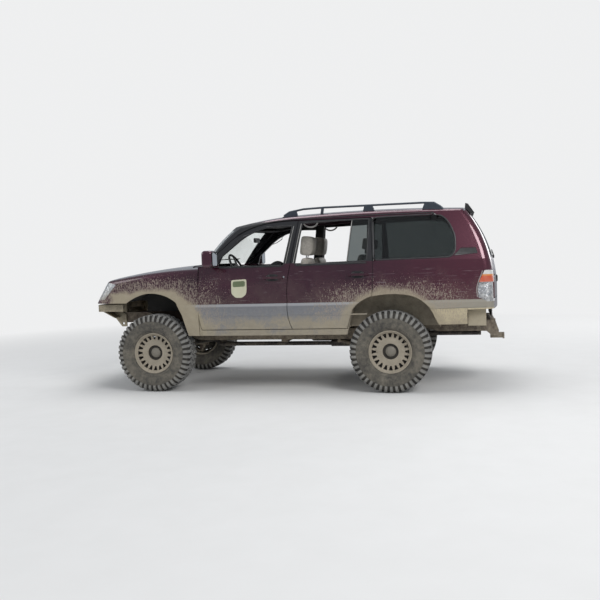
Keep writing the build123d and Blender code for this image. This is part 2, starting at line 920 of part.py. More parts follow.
def make_floor():
    """Cab floor with its tunnel, the raised load floor behind it, the rear panel and the firewall."""
    floor = block(-940, firewall_x + firewall_depth, -10, 900, floor_bottom_z, 765)
    floor += block(-985, -930, -10, wheelhouse_y - seat_gap, floor_bottom_z, load_floor_z)
    floor += block(-2560, -930, -10, wheelhouse_y - seat_gap, load_floor_z - 30, load_floor_z)
    floor += block(-2540, -2000, -10, 900, load_floor_z - 30, load_floor_z)
    floor += block(firewall_x, firewall_x + firewall_depth, -10, 900, floor_bottom_z, 1440)
    floor += block(-2575, -2555, -10, 735, 800, gate_pad_low_z - seat_gap)
    floor &= cabin[wall_depth]
    floor += block(-2486, -2290, 800, 812, 740, load_floor_z - 20)
    tunnel = outline((890, 700), (890, 960), (700, 900), (-120, 800), (-120, 700))
    hollow = outline((900, 690), (900, 952), (698, 890), (-110, 790), (-110, 690))
    floor += side_prism(tunnel, 0, tunnel_half_width) & block(-200, 885, -10, 200, floor_bottom_z, 1000)
    floor -= side_prism(hollow, -10, tunnel_half_width - 10)
    floor = biggest(floor)
    return floor + mirrored(floor)


front_liner_line = loop(
    (928, 600),
    (1015, 930),
    (1105, 1096),
    ((1449, 1206), (1815, 1086)),
    (1815, 600),
)
rear_liner_line = loop(
    (-1995, 600),
    (-1985, 800),
    (-1880, 985),
    ((-1425, 1150), (-1000, 985)),
    (-940, 760),
    (-940, 600),
)
liner_depth = 8
front_liner_y = 447


def make_front_wheelhouse():
    """Left front wheel liner: arched roof and upper inner wall."""
    arch = side_prism(grown(front_liner_line), front_liner_y, 1000)
    arch -= side_prism(grown(front_liner_line, -liner_depth), front_liner_y + liner_depth, 1100)
    arch -= block(1700, 2000, 400, 1100, 0, 1080)
    arch -= block(900, 1900, 400, front_liner_y + liner_depth, 0, 940)
    arch &= block(900, 2000, 400, 1100, sill_bottom_z + 10, 1300)
    return biggest(arch & front[fender_depth])


def make_rear_wheelhouse():
    """Left rear wheel liner with its inner wall."""
    arch = side_prism(grown(rear_liner_line), wheelhouse_y, 1000)
    arch -= side_prism(grown(rear_liner_line, -liner_depth), wheelhouse_y + liner_depth, 1100)
    arch &= block(-2100, -900, 500, 1100, floor_bottom_z, 1200)
    return biggest(arch & cabin[wall_depth])


# Suspension, axles and steering

knuckle_y = 745
lower_ball_z = 300
upper_ball_z = 630
ball_pin_radius = 14
pin_clearance = 0.4
eye_depth = 26
move_gap = 5
lower_pivot_y = 470
lower_pivot_z = 420
lower_pivot_reach = 150
upper_pivot_y = 478
upper_pivot_z = 740
upper_pivots = [-120, -15]
arm_root_y = 680
spring_x = front_axle_x + 75
spring_y = 512
spring_low_z = 452
rear_spring_y = 515
tie_rod_x = front_axle_x - 90
tie_rod_z = 560


def coil_spring(x, y, low_z, high_z, radius, wire, turns):
    """Coil spring round its damper, as a sleeve with one ridge to each turn."""
    pitch = (high_z - low_z) / turns
    points = [(radius - wire, low_z)]
    for turn in range(turns):
        points.append((radius + wire, low_z + pitch * (turn + 0.5)))
        points.append((radius - wire, low_z + pitch * (turn + 1)))
    points += [(radius - 2 * wire, high_z), (radius - 2 * wire, low_z)]
    face = make_face(Polyline(*points, close=True))
    return Pos(x, y, 0) * revolve(Plane.XZ * face, axis=Axis.Z)


def make_front_arms():
    """Left front arms with their ball pins on the steering axis."""
    x = front_axle_x
    lower = Pos(x, knuckle_y, lower_ball_z - move_gap - 11) * Cylinder(30, 22)
    lower += Pos(x, knuckle_y, lower_ball_z) * Cylinder(ball_pin_radius, 2 * eye_depth)
    plate_top_z = lower_ball_z - move_gap
    lower += block(x - 34, x + 34, arm_root_y - 12, knuckle_y, plate_top_z - 22, plate_top_z)
    upper = Pos(x, knuckle_y, upper_ball_z + move_gap + 10) * Cylinder(26, 20)
    upper += Pos(x, knuckle_y, upper_ball_z) * Cylinder(ball_pin_radius, 2 * eye_depth)
    for end_x in (x - lower_pivot_reach, x + lower_pivot_reach):
        root_x = x + (end_x - x) * 0.1
        root = (root_x, arm_root_y, lower_ball_z - 18)
        lower += bar_between(root, (end_x, lower_pivot_y, lower_pivot_z), 14)
        lower += bar_between(
            (end_x - 40, lower_pivot_y, lower_pivot_z), (end_x + 40, lower_pivot_y, lower_pivot_z), 28
        )
    lower += block(x - 140, x + 140, spring_y - 14, spring_y + 14, lower_pivot_z - 26, lower_pivot_z + 2)
    lower += Pos(spring_x, spring_y, spring_low_z - 20) * Cylinder(50, 40)
    for end_x in [x + offset for offset in upper_pivots]:
        upper += bar_between((x, knuckle_y - 6, upper_ball_z + 15), (end_x, upper_pivot_y, upper_pivot_z), 13)
        upper += bar_between(
            (end_x - 30, upper_pivot_y, upper_pivot_z), (end_x + 30, upper_pivot_y, upper_pivot_z), 20
        )
    return together(lower, upper)


def make_front_springs():
    """Front spring leg: coil and damper between the lower arm and the tower."""
    coil = coil_spring(spring_x, spring_y, spring_low_z, spring_top_z, 44, 6.5, 7)
    length = spring_top_z - spring_low_z
    damper = Pos(spring_x, spring_y, spring_low_z + length / 2) * Cylinder(24, length)
    return together(coil, damper)


def make_front_drive():
    """Front differential with its hanger and the two half shafts."""
    x = front_axle_x
    drive = Pos(x, 0, 470) * Sphere(95)
    drive += bar_between((x - 60, 0, 471), (x - 130, 0, 476), 34)
    drive += tube_y(x, tyre_radius, 42, -210, 210)
    drive += tube_y(x, tyre_radius, 16, -690, 690)
    for side in (-1, 1):
        low, high = sorted((side * 625, side * 688))
        drive += tube_y(x, tyre_radius, 40, low, high)
    drive += block(1380, 1410, -rail_inner_y, rail_inner_y, 690, 716)
    return drive + block(1385, 1405, -60, 60, 500, 700)


def make_steering_rack():
    """Steering rack on two brackets, with tie rods that end short of the knuckles' arms."""
    half = tube_y(tie_rod_x, tie_rod_z, 26, -10, 345)
    half += tube_y(tie_rod_x, tie_rod_z, 10, 0, 655)
    half += Pos(tie_rod_x, 655, tie_rod_z) * Sphere(15)
    half += block(tie_rod_x - 25, tie_rod_x + 25, 335, rail_inner_y, tie_rod_z - 20, 720)
    return half + mirrored(half)


def make_knuckle():
    """Left steering knuckle: two eyes on the ball pins, hub carrier, spindle and steering arm."""
    x = front_axle_x
    upright = block(x - 26, x + 26, knuckle_y - 32, knuckle_y + 32, lower_ball_z, upper_ball_z)
    for z in (lower_ball_z + eye_depth / 2, upper_ball_z - eye_depth / 2):
        upright += Pos(x, knuckle_y, z) * Cylinder(34, eye_depth)
    upright += tube_y(x, tyre_radius, 62, knuckle_y - 30, knuckle_y + 62)
    arm = block(tie_rod_x - 16, x, knuckle_y - 16, knuckle_y + 16, tie_rod_z - 16, tie_rod_z + 16)
    upright += arm
    for z in (lower_ball_z, upper_ball_z):
        hole = Cylinder(ball_pin_radius + pin_clearance, 2 * eye_depth + 4)
        upright -= Pos(x, knuckle_y, z) * hole
    return upright + tube_y(x, tyre_radius, spindle_radius, knuckle_y + 50, spindle_end_y)


spindle_end_y = wheel_y + 46


def ring(points):
    """Ring turned about the wheel's own axis from an outline of places across the wheel and radii."""
    face = make_face(Polyline(*[(radius, across) for across, radius in points], close=True))
    return Rot(-90, 0, 0) * revolve(Plane.XZ * face, axis=Axis.Z)


rim_edge = rim_width / 2
bore_radius = spindle_radius + spindle_clearance
rim_profile = [
    (-rim_edge, 236), (-rim_edge, rim_flange_radius), (-112, rim_flange_radius), (-112, rim_bead_radius),
    (-70, 226), (-45, 206), (20, 206), (45, 226), (112, rim_bead_radius), (112, rim_flange_radius),
    (rim_edge, rim_flange_radius), (rim_edge, 236), (106, 222), (96, 212), (84, 205), (72, 158),
    (72, 92), (44, 86), (44, 60), (58, 56), (70, 34), (74, 0), (52, 0), (52, bore_radius), (-18, bore_radius),
    (-18, 55), (26, 64), (30, 88), (60, 102), (60, 156), (70, 196), (36, 196), (-42, 196), (-66, 216),
    (-108, 221),
]
vent_count = 20
vent_inner_radius = 165
vent_outer_radius = 210
vent_inner_width = 17
vent_outer_width = 40


def make_rim(side):
    """Steel wheel with a flat disc, trapezoid vents near its edge and a domed cap."""
    places = [(side * across, radius) for across, radius in rim_profile]
    wheel = ring(places)
    vent = Polyline(
        (vent_inner_radius, -vent_inner_width / 2),
        (vent_outer_radius, -vent_outer_width / 2),
        (vent_outer_radius, vent_outer_width / 2),
        (vent_inner_radius, vent_inner_width / 2),
        close=True,
    )
    prism = Pos(0, side * 66, 0) * Rot(90, 0, 0) * Pos(0, 0, -25) * extrude(make_face(vent), amount=50)
    cutters = [Rot(0, 360 / vent_count * index, 0) * prism for index in range(vent_count)]
    return wheel - cutters


bead_across = 112 - seat_gap
bead_radius = rim_bead_radius + seat_gap
wall_across = tyre_width / 2
tyre_profile = [
    (-bead_across, bead_radius), (-bead_across, 247), (-140, 268), (-156, 330), (-wall_across, 372),
    (-150, 418), (-128, 456), (-112, tyre_radius), (112, tyre_radius), (128, 456), (150, 418),
    (wall_across, 372), (156, 330), (140, 268), (bead_across, 247), (bead_across, bead_radius),
]


def make_tyre():
    """Tyre out to the tips of its tread blocks, at its own centre."""
    rising = [(-100, 243), (-138, 300), (-138, 380), (-104, 436)]
    cavity = rising + [(-across, radius) for across, radius in reversed(rising)]
    return ring(tyre_profile) - ring(cavity)


def make_rear_axle():
    """Solid rear axle: tubes, differential housing, brake drums and the two spindles."""
    x = rear_axle_x
    axle = tube_y(x, tyre_radius, 42, -700, 700)
    axle += Pos(x, 0, tyre_radius) * Sphere(150)
    axle += bar_between((x + 110, 0, 480), (x + 180, 0, 490), 46)
    for side in (-1, 1):
        low, high = sorted((side * 690, side * 800))
        axle += tube_y(x, tyre_radius, 130, low, high)
        low, high = sorted((side * 790, side * spindle_end_y))
        axle += tube_y(x, tyre_radius, spindle_radius, low, high)
        axle += Pos(x, side * rear_spring_y, tyre_radius + 40) * Cylinder(62, 20)
        low, high = sorted((side * 570, side * 600))
        axle += block(x - 86, x - 20, low, high, 400, 470)
        low, high = sorted((side * 415, side * 455))
        axle += block(x - 10, x + 60, low, high, 375, 480)
    return axle


def make_rear_links():
    """Left rear trailing arms, coil spring and damper."""
    x = rear_axle_x
    arm = bar_between((x + 84, 435, 405), (-760, 400, rail_low_z - 22), 20)
    arm += tube_y(-760, rail_low_z - 22, 22, 370, 430)
    arm += tube_y(x + 82, 405, 22, 405, 465)
    low_z = tyre_radius + 50
    coil = coil_spring(x, rear_spring_y, low_z, rear_spring_top_z, 52, 7, 7)
    damper = Pos(x - 66, 585, (470 + rear_spring_top_z) / 2) * Cylinder(22, rear_spring_top_z - 470)
    return together(arm, coil, damper)


# Engine, driveline, tank and exhaust


def make_engine():
    """Engine as one plain block on its two mounts."""
    engine = block(1080, 1700, -270, 270, 722, 1280)
    engine = fillet(engine.edges().filter_by(Axis.X), 40)
    engine += block(1430, 1500, -rail_inner_y, rail_inner_y, 760, 820)
    return engine + block(900, 1090, -150, 150, 722, 1000)


def make_driveline():
    """Gearbox and transfer case with the front and rear propeller shafts."""
    box = block(60, 880, -125, 125, 600, 770)
    box += block(-290, 110, -150, 190, 600, 725)
    box += bar_between((-280, 20, 650), (rear_axle_x + 184, 0, 490), 34)
    return box + bar_between((100, 160, 650), (front_axle_x - 134, 0, 476), 22)


def make_fuel_tank():
    """Fuel tank hung between the rails."""
    tank = block(-860, -310, -rail_inner_y, -95, 480, 660)
    tank = fillet(tank.edges().filter_by(Axis.Y), 35)
    return tank


def make_exhaust():
    """Exhaust pipe with its silencer and tail pipe, hung from the crossmembers."""
    places = [
        (900, 250, 560),
        (800, 250, 490),
        (-620, 250, 490),
        (-1130, 250, 500),
        (-1290, 250, 650),
        (-1560, 250, 650),
        (-1720, 250, 600),
        (-2440, 250, 600),
    ]
    pipe = bar_between(places[0], places[1], 26)
    for start, end in zip(places[1:], places[2:]):
        pipe += bar_between(start, end, 26) + Pos(*start) * Sphere(26)
    pipe += fillet(block(-1130, -640, 190, 310, 455, 530).edges().filter_by(Axis.X), 25)
    pipe += block(-70, -50, 240, 260, 495, 520)
    return pipe + block(-1680, -1660, 240, 260, 600, 740)


# Cabin fittings


dashboard_end_y = 805


def make_dashboard():
    """Instrument panel across the cab."""
    profile = outline(
        (firewall_x, 1150),
        (firewall_x, 1434),
        (836, 1438),
        (835, 1460),
        (700, 1478),
        (565, 1440),
        (590, 1260),
        (700, 1140),
    )
    half = side_prism(profile, -10, dashboard_end_y)
    half += block(540, 620, -10, 150, 1160, 1400)
    console = outline((-105, 803), (600, 889), (600, 1200), (480, 1200), (480, 1020), (-105, 1020))
    half += side_prism(console, -10, 130)
    return half + mirrored(half) - steering_column(28 + seat_gap)


steering_wheel_radius = 188
steering_wheel_place = (505, 380, 1455)
steering_wheel_lean = 118


def make_steering_wheel():
    """Steering wheel with three spokes, boss and column."""
    wheel = Torus(steering_wheel_radius, 14)
    wheel += Cylinder(52, 34)
    for angle in (90, 210, 330):
        wheel += Rot(0, 0, angle) * block(30, steering_wheel_radius, -16, 16, -8, 8)
    return Pos(*steering_wheel_place) * Rot(0, steering_wheel_lean, 0) * wheel + steering_column(28)


def steering_column(radius):
    """Round column from the wheel's boss into the instrument panel."""
    column = Cylinder(radius, 150, align=(Align.CENTER, Align.CENTER, Align.MIN))
    return Pos(*steering_wheel_place) * Rot(0, steering_wheel_lean, 0) * column


def make_front_seat():
    """Left front seat: pedestal, cushion, leaned back and headrest."""
    low_y, high_y = 145, 645
    base = block(-340, 120, low_y + 60, high_y - 60, 765, 960)
    cushion = side_prism(
        outline((-370, 960), (150, 960), (165, 1060), (120, 1130), (-300, 1090), (-370, 1060)),
        low_y,
        high_y,
    )
    back = side_prism(
        outline((-330, 1070), (-210, 1085), (-310, 1560), (-350, 1590), (-430, 1580), (-450, 1540)),
        low_y,
        high_y,
    )
    posts = side_prism(outline((-375, 1560), (-355, 1560), (-385, 1660), (-405, 1660)), 330, 460)
    head = fillet(block(-460, -345, 265, 525, 1610, 1808).edges(), 30)
    return base + cushion + back + posts + head


def make_rear_seat():
    """Bench with its back and three headrests."""
    profile = outline(
        (-530, 765),
        (-530, 1040),
        (-500, 1060),
        (-505, 1130),
        (-560, 1145),
        (-930, 1105),
        (-1060, 1600),
        (-1100, 1620),
        (-1160, 1600),
        (-1110, 1300),
        (-1080, 1031),
        (-929, 1031),
        (-929, 765),
    )
    seat = side_prism(profile, -630, 630)
    for y in (-400, 0, 400):
        head = fillet(block(-1165, -1070, y - 120, y + 120, 1625, 1770).edges(), 28)
        seat += head + block(-1135, -1105, y - 50, y + 50, 1580, 1640)
    return seat


# Roof rails, tailgate and lamps

rail_y = 640
rail_top_line = [
    (-175, 2062),
    (-245, 2104),
    (-415, 2132),
    (-650, 2140),
    (-1810, 2142),
    (-1935, 2136),
    (-2005, 2092),
    (-2035, 2066),
]


def make_roof_rail():
    """Left roof rail: round bar on a front foot, two struts and a rear foot."""
    radius = 12
    places = [(x, rail_y, z) for x, z in rail_top_line]
    rail = bar_between(places[0], places[1], radius)
    for start, end in zip(places[1:], places[2:]):
        rail += Pos(*start) * Sphere(radius)
        rail += bar_between(start, end, radius)
    feet = [
        [(-150, 2040), (-240, 2100), (-330, 2118), (-350, 2040)],
        [(-615, 2040), (-630, 2138), (-660, 2138), (-650, 2040)],
        [(-1110, 2040), (-1140, 2140), (-1235, 2140), (-1270, 2040)],
        [(-1790, 2040), (-1830, 2140), (-1935, 2134), (-2045, 2060), (-2045, 2040)],
    ]
    for foot in feet:
        rail += side_prism(outline(*foot), rail_y - 13, rail_y + 13)
    return biggest(rail - cabin[0])


gate_front_x = -2266
spoiler_front_x = -2284
gate_split_gap = 10
gate_edge = 34


def make_upper_gate():
    """Upper tailgate leaf with its glass opening."""
    leaf_zone = front_prism(grown(gate_line, -door_gap / 2), -2900, gate_front_x)
    half = (cabin[0] - cabin[roof_depth]) & leaf_zone
    half &= block(-2900, 0, 0, 900, gate_split_z + gate_split_gap / 2, 2300)
    half -= cabin[door_skin] & block(-2900, 0, -10, 900, 0, gate_split_z + gate_edge)
    half -= front_prism(grown(rear_glass_line), -2900, gate_front_x - 6)
    half = biggest(half)
    return half + mirrored(half)


def make_gate_glass():
    """Tailgate glass let into the upper leaf."""
    pane = behind_tail(3 + glass_depth) - behind_tail(3)
    half = pane & front_prism(grown(rear_glass_line, -seat_gap), -2900, gate_front_x - 6)
    half = biggest(half)
    return half + mirrored(half)


def make_spoiler():
    """Roof spoiler seated on the upper leaf over the glass."""
    front_x = spoiler_front_x
    profile = outline((front_x, 2060), (front_x, 2122), (-2315, 2112), (-2384, 2010), (-2340, 2004))
    half = biggest(side_prism(profile, -10, 560) - cabin[0])
    half &= block(-2500, 0, 0, 900, 1900, 2300)
    return half + mirrored(half)


def make_lower_gate():
    """Lower tailgate leaf, hinged along its bottom edge."""
    leaf_zone = front_prism(grown(gate_line, -door_gap / 2), -2900, gate_front_x)
    half = (cabin[0] - cabin[wall_depth]) & leaf_zone
    half &= block(-2900, 0, 0, 900, 0, gate_split_z - gate_split_gap / 2)
    half -= cabin[door_skin] & block(-2900, 0, -10, 900, gate_split_z - gate_edge, 2300)
    half = biggest(half)
    return half + mirrored(half)


def make_tail_lamp(broken):
    """Left tail lamp; the broken one has lost the outer shell of its lower lens."""
    lamp = (cabin[0] - cabin[roof_depth]) & side_prism(grown(tail_lamp_line), 745, 1200)
    lamp -= front_prism(grown(gate_line, door_gap), -2900, roof_rear_x)
    if broken:
        lamp -= (cabin[0] - cabin[door_skin]) & block(-2900, -2416, 700, 1200, 1040, 1225)
    return biggest(lamp)


def make_mirror():
    """Left door mirror: housing on a short arm that grows from the door's front corner."""
    arm = block(640, 720, 905, 1000, 1505, 1545)
    housing = block(565, 700, 985, 1185, 1475, 1675)
    housing = fillet(housing.edges(), 40)
    return arm + housing


# Writing the pieces


def write(name, shape):
    """Save one piece with its origin at the middle of the vehicle's length."""
    placed = Pos(-(front_end_x + rear_end_x) / 2, 0, 0) * shape
    placed.label = name
    export_step(placed, f"parts/{name}.step")


def write_pair(name, shape):
    """Save a left piece and its mirror image as two nodes."""
    write(f"{name}_left", shape)
    write(f"{name}_right", mirrored(shape))


def main():
    """Build and save every piece."""
    os.makedirs("parts", exist_ok=True)
    write_pair("body_side", make_body_side())
    write_pair("fender", make_fender())
    write_pair("door_front", make_front_door() + make_mirror())
    write_pair("door_rear", make_rear_door())
    write_pair("door_light", make_rear_light())
    write_pair("knuckle", make_knuckle())
    single = {
        "roof_panel": make_roof_panel,
        "windscreen": make_windscreen,
        "hood": make_hood,
        "cowl": make_cowl,
        "front_cover": make_front_cover,
        "grille": make_grille,
        "front_carrier": make_front_carrier,
        "front_bar": make_front_bar,
        "crossmembers": make_crossmembers,
        "hitch": make_hitch,
        "floor": make_floor,
        "front_drive": make_front_drive,
        "steering_rack": make_steering_rack,
        "rear_axle": make_rear_axle,
        "engine": make_engine,
        "driveline": make_driveline,
        "fuel_tank": make_fuel_tank,
        "exhaust": make_exhaust,
        "dashboard": make_dashboard,
        "steering_wheel": make_steering_wheel,
        "rear_seat": make_rear_seat,
        "gate_upper": make_upper_gate,
        "gate_glass": make_gate_glass,
        "spoiler": make_spoiler,
        "gate_lower": make_lower_gate,
    }
    for name, maker in single.items():
        write(name, maker())
    paired = {
        "quarter_glass": make_quarter_glass,
        "headlamps": make_headlamp,
        "chassis_rails": make_chassis_rail,
        "front_wheelhouses": make_front_wheelhouse,
        "rear_wheelhouses": make_rear_wheelhouse,
        "front_arms": make_front_arms,
        "front_springs": make_front_springs,
        "rear_links": make_rear_links,
        "front_seats": make_front_seat,
        "roof_rails": make_roof_rail,
    }
    for name, maker in paired.items():
        write(name, both_sides(maker()))
    write("tail_lamps", together(make_tail_lamp(True), mirrored(make_tail_lamp(False))))
    rims = {1: make_rim(1), -1: make_rim(-1)}
    tyre = make_tyre()
    for side, side_name in ((1, "left"), (-1, "right")):
        for axle_x, axle_name in ((front_axle_x, "front"), (rear_axle_x, "rear")):
            place = Pos(axle_x, side * wheel_y, tyre_radius)
            write(f"rim_{axle_name}_{side_name}", place * rims[side])
            write(f"tyre_{axle_name}_{side_name}", place * tyre)


if __name__ == "__main__":
    main()
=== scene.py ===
"""Finishes and fine pieces of a lifted off-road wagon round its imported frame. Metres, floor at z = 0."""

import logging
import math
from dataclasses import dataclass, field
from enum import Enum
from functools import lru_cache
from typing import Iterable, Optional, Sequence

import bmesh
import bpy
from mathutils import Matrix, Vector
from mathutils.bvhtree import BVHTree


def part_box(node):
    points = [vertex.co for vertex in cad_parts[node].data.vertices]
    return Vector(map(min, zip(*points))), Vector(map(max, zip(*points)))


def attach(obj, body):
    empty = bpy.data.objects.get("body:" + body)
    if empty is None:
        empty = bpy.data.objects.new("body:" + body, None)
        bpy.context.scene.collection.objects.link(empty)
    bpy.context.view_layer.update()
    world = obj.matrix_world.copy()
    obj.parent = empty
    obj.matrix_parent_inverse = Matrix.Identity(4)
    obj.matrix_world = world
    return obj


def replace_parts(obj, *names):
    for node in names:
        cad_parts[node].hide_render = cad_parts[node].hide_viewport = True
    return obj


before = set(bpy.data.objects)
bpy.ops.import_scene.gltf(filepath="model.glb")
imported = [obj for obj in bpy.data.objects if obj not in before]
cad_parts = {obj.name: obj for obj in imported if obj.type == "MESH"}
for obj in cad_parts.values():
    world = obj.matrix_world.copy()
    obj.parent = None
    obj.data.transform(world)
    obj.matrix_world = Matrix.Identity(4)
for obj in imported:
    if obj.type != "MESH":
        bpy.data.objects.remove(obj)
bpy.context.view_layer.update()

LOG = logging.getLogger("wagon")

Point = tuple[float, float, float]
Flat = tuple[float, float]
Colour = tuple[float, float, float]

FRONT_AXLE_X = 1.655
REAR_AXLE_X = -1.195
AXLE_Z = 0.466
WHEEL_Y = 0.845
FLANK_Y = 0.95
MOULDING_TOP_Z = 1.040
BELT_Z = 1.485
BACKDROP: Colour = (0.86, 0.865, 0.87)
TYRE_PITCHES = 43


class Side(Enum):
    """The two sides of the vehicle, by the sign of y."""

    LEFT = 1
    RIGHT = -1

    @property
    def word(self) -> str:
        """The side's name as the frame's nodes spell it."""
        return self.name.lower()


# Shader maths


class Wire:
    """A value socket whose arithmetic adds Math nodes to its tree."""

    def __init__(self, tree: "Tree", socket: bpy.types.NodeSocket) -> None:
        """Hold a socket and the tree that it is in."""
        self.tree = tree
        self.socket = socket

    def _with(self, operation: str, *others: "Wire | float") -> "Wire":
        """Add a Math node.

        Args:
            operation: the Math node's operation.
            others: the values of its inputs, with this wire among them.

        Returns:
            The node's result.
        """
        return self.tree.maths(operation, *others)

    def __add__(self, other: "Wire | float") -> "Wire":
        """Sum."""
        return self._with("ADD", self, other)

    __radd__ = __add__

    def __sub__(self, other: "Wire | float") -> "Wire":
        """Difference."""
        return self._with("SUBTRACT", self, other)

    def __rsub__(self, other: float) -> "Wire":
        """Difference from a number."""
        return self._with("SUBTRACT", other, self)

    def __mul__(self, other: "Wire | float") -> "Wire":
        """Product."""
        return self._with("MULTIPLY", self, other)

    __rmul__ = __mul__

    def __truediv__(self, other: "Wire | float") -> "Wire":
        """Quotient."""
        return self._with("DIVIDE", self, other)

    def __pow__(self, other: float) -> "Wire":
        """Power."""
        return self._with("POWER", self, other)

    def __or__(self, other: "Wire | float") -> "Wire":
        """Larger of two masks."""
        return self._with("MAXIMUM", self, other)

    def __and__(self, other: "Wire | float") -> "Wire":
        """Smaller of two masks."""
        return self._with("MINIMUM", self, other)

    def size(self) -> "Wire":
        """Absolute value."""
        return self._with("ABSOLUTE", self)

    def above(self, limit: "Wire | float", width: float = 0.002) -> "Wire":
        """Mask that rises from 0 to 1 across a limit.

        Args:
            limit: the value where the mask is a half.
            width: how far the rise takes.

        Returns:
            The mask, kept between 0 and 1.
        """
        slope = (self - limit) / width + 0.5
        return self.tree.node("ShaderNodeClamp", {}, slope, 0.0, 1.0)

    def below(self, limit: "Wire | float", width: float = 0.002) -> "Wire":
        """The opposite of above."""
        return 1 - self.above(limit, width)

    def between(self, low: float, high: float, width: float = 0.002) -> "Wire":
        """Mask of a range."""
        return self.above(low, width) * self.below(high, width)


class Tree:
    """The node tree of a material or world, with one method for every node."""

    def __init__(self, owner: bpy.types.Material | bpy.types.World) -> None:
        """Start an empty tree.

        Args:
            owner: the material or world that the tree belongs to.
        """
        owner.use_nodes = True
        self.tree = owner.node_tree
        self.tree.nodes.clear()
        self._axes: Optional[tuple[Wire, Wire, Wire]] = None
        self._place: Optional[Wire] = None

    def raw(self, kind: str, settings: dict, inputs: Sequence, named: dict) -> bpy.types.Node:
        """Add a node, set it, and fill or link its inputs.

        Args:
            kind: the node's type name.
            settings: its settings, set before its sockets.
            inputs: values or wires of its inputs in order; None leaves one alone.
            named: values or wires of its inputs by name or number.

        Returns:
            The node.
        """
        node = self.tree.nodes.new(kind)
        for key, value in settings.items():
            setattr(node, key, value)
        pairs = list(enumerate(inputs)) + list(named.items())
        for key, value in pairs:
            if isinstance(value, Wire):
                self.tree.links.new(value.socket, node.inputs[key])
            elif value is not None:
                if isinstance(value, tuple) and len(value) == 3 and node.inputs[key].type == "RGBA":
                    value = (*value, 1.0)
                node.inputs[key].default_value = value
        return node

    def node(self, kind: str, settings: dict, *inputs: "Wire | float | tuple | None", out: "int | str" = 0,
             **named: "Wire | float | tuple") -> Wire:
        """Add a node and give one of its outputs.

        Args:
            kind: the node's type name.
            settings: its settings.
            inputs: values or wires of its inputs in order.
            out: the output to give, by number or name.
            named: inputs by name, with _ for a space.

        Returns:
            The output as a wire.
        """
        words = {key.replace("_", " "): value for key, value in named.items()}
        return Wire(self, self.raw(kind, settings, inputs, words).outputs[out])

    def place(self) -> Wire:
        """The point on the piece, in the frame's metres, which moves with the piece.

        Returns:
            The point.
        """
        if self._place is None:
            self._place = self.node("ShaderNodeTexCoord", {}, out="Object")
        return self._place

    def axes(self) -> tuple[Wire, Wire, Wire]:
        """The point's x, y and z.

        Returns:
            The three values.
        """
        if self._axes is None:
            split = self.raw("ShaderNodeSeparateXYZ", {}, [self.place()], {})
            self._axes = tuple(Wire(self, split.outputs[index]) for index in range(3))
        return self._axes

    def stretched(self, across: float, along: float, up: float) -> Wire:
        """The point with its axes scaled apart."""
        return self.node("ShaderNodeVectorMath", {"operation": "MULTIPLY"}, self.place(), (across, along, up))

    def noise(self, scale: float, detail: float = 4.0, rough: float = 0.6, vector: Optional[Wire] = None,
              warp: float = 0.0) -> Wire:
        """Cloudy noise between 0 and 1.

        Args:
            scale: grains in a metre.
            detail: octaves.
            rough: how strong the fine octaves are.
            vector: the point, or None for the plain one.
            warp: distortion.

        Returns:
            The noise.
        """
        return self.node("ShaderNodeTexNoise", {}, Vector=vector or self.place(), Scale=scale, Detail=detail,
                         Roughness=rough, Distortion=warp)

    def cells(self, scale: float, vector: Optional[Wire] = None) -> Wire:
        """Distance to the nearest of many scattered points."""
        return self.node("ShaderNodeTexVoronoi", {}, Vector=vector or self.place(), Scale=scale)

    def flutes(self, direction: str, scale: float) -> Wire:
        """Even bands, as in pressed lamp glass."""
        settings = {"wave_type": "BANDS", "bands_direction": direction}
        return self.node("ShaderNodeTexWave", settings, Scale=scale, out=1)

    def maths(self, operation: str, *values: "Wire | float") -> Wire:
        """Result of a Math node."""
        return self.node("ShaderNodeMath", {"operation": operation}, *values)

    def mix(self, share: "Wire | float", first: "Wire | Colour", second: "Wire | Colour") -> Wire:
        """Blend two colours.

        Args:
            share: how much of the second.
            first: a colour.
            second: the colour laid over it.

        Returns:
            The blend.
        """
        named = {0: share, 6: first, 7: second}
        node = self.raw("ShaderNodeMix", {"data_type": "RGBA", "clamp_factor": True}, [], named)
        return Wire(self, node.outputs[2])

    def bump(self, height: Wire, depth: float, after: Optional[Wire] = None) -> Wire:
        """Surface relief from a height between 0 and 1.

        Args:
            height: the height map.
            depth: metres between its 0 and 1.
            after: an earlier relief to add to.

        Returns:
            The normal.
        """
        named = {"Strength": 1.0, "Distance": depth, "Height": height}
        if after is not None:
            named["Normal"] = after
        return Wire(self, self.raw("ShaderNodeBump", {}, [], named).outputs[0])

    def surface(self, **named: "Wire | float | tuple") -> None:
        """End the tree with one Principled shader whose inputs are named with _ for a space."""
        shader = self.node("ShaderNodeBsdfPrincipled", {}, **named)
        self.raw("ShaderNodeOutputMaterial", {}, [shader], {})


# Finishes

DUST: Colour = (0.36, 0.31, 0.235)
MUD: Colour = (0.42, 0.365, 0.265)


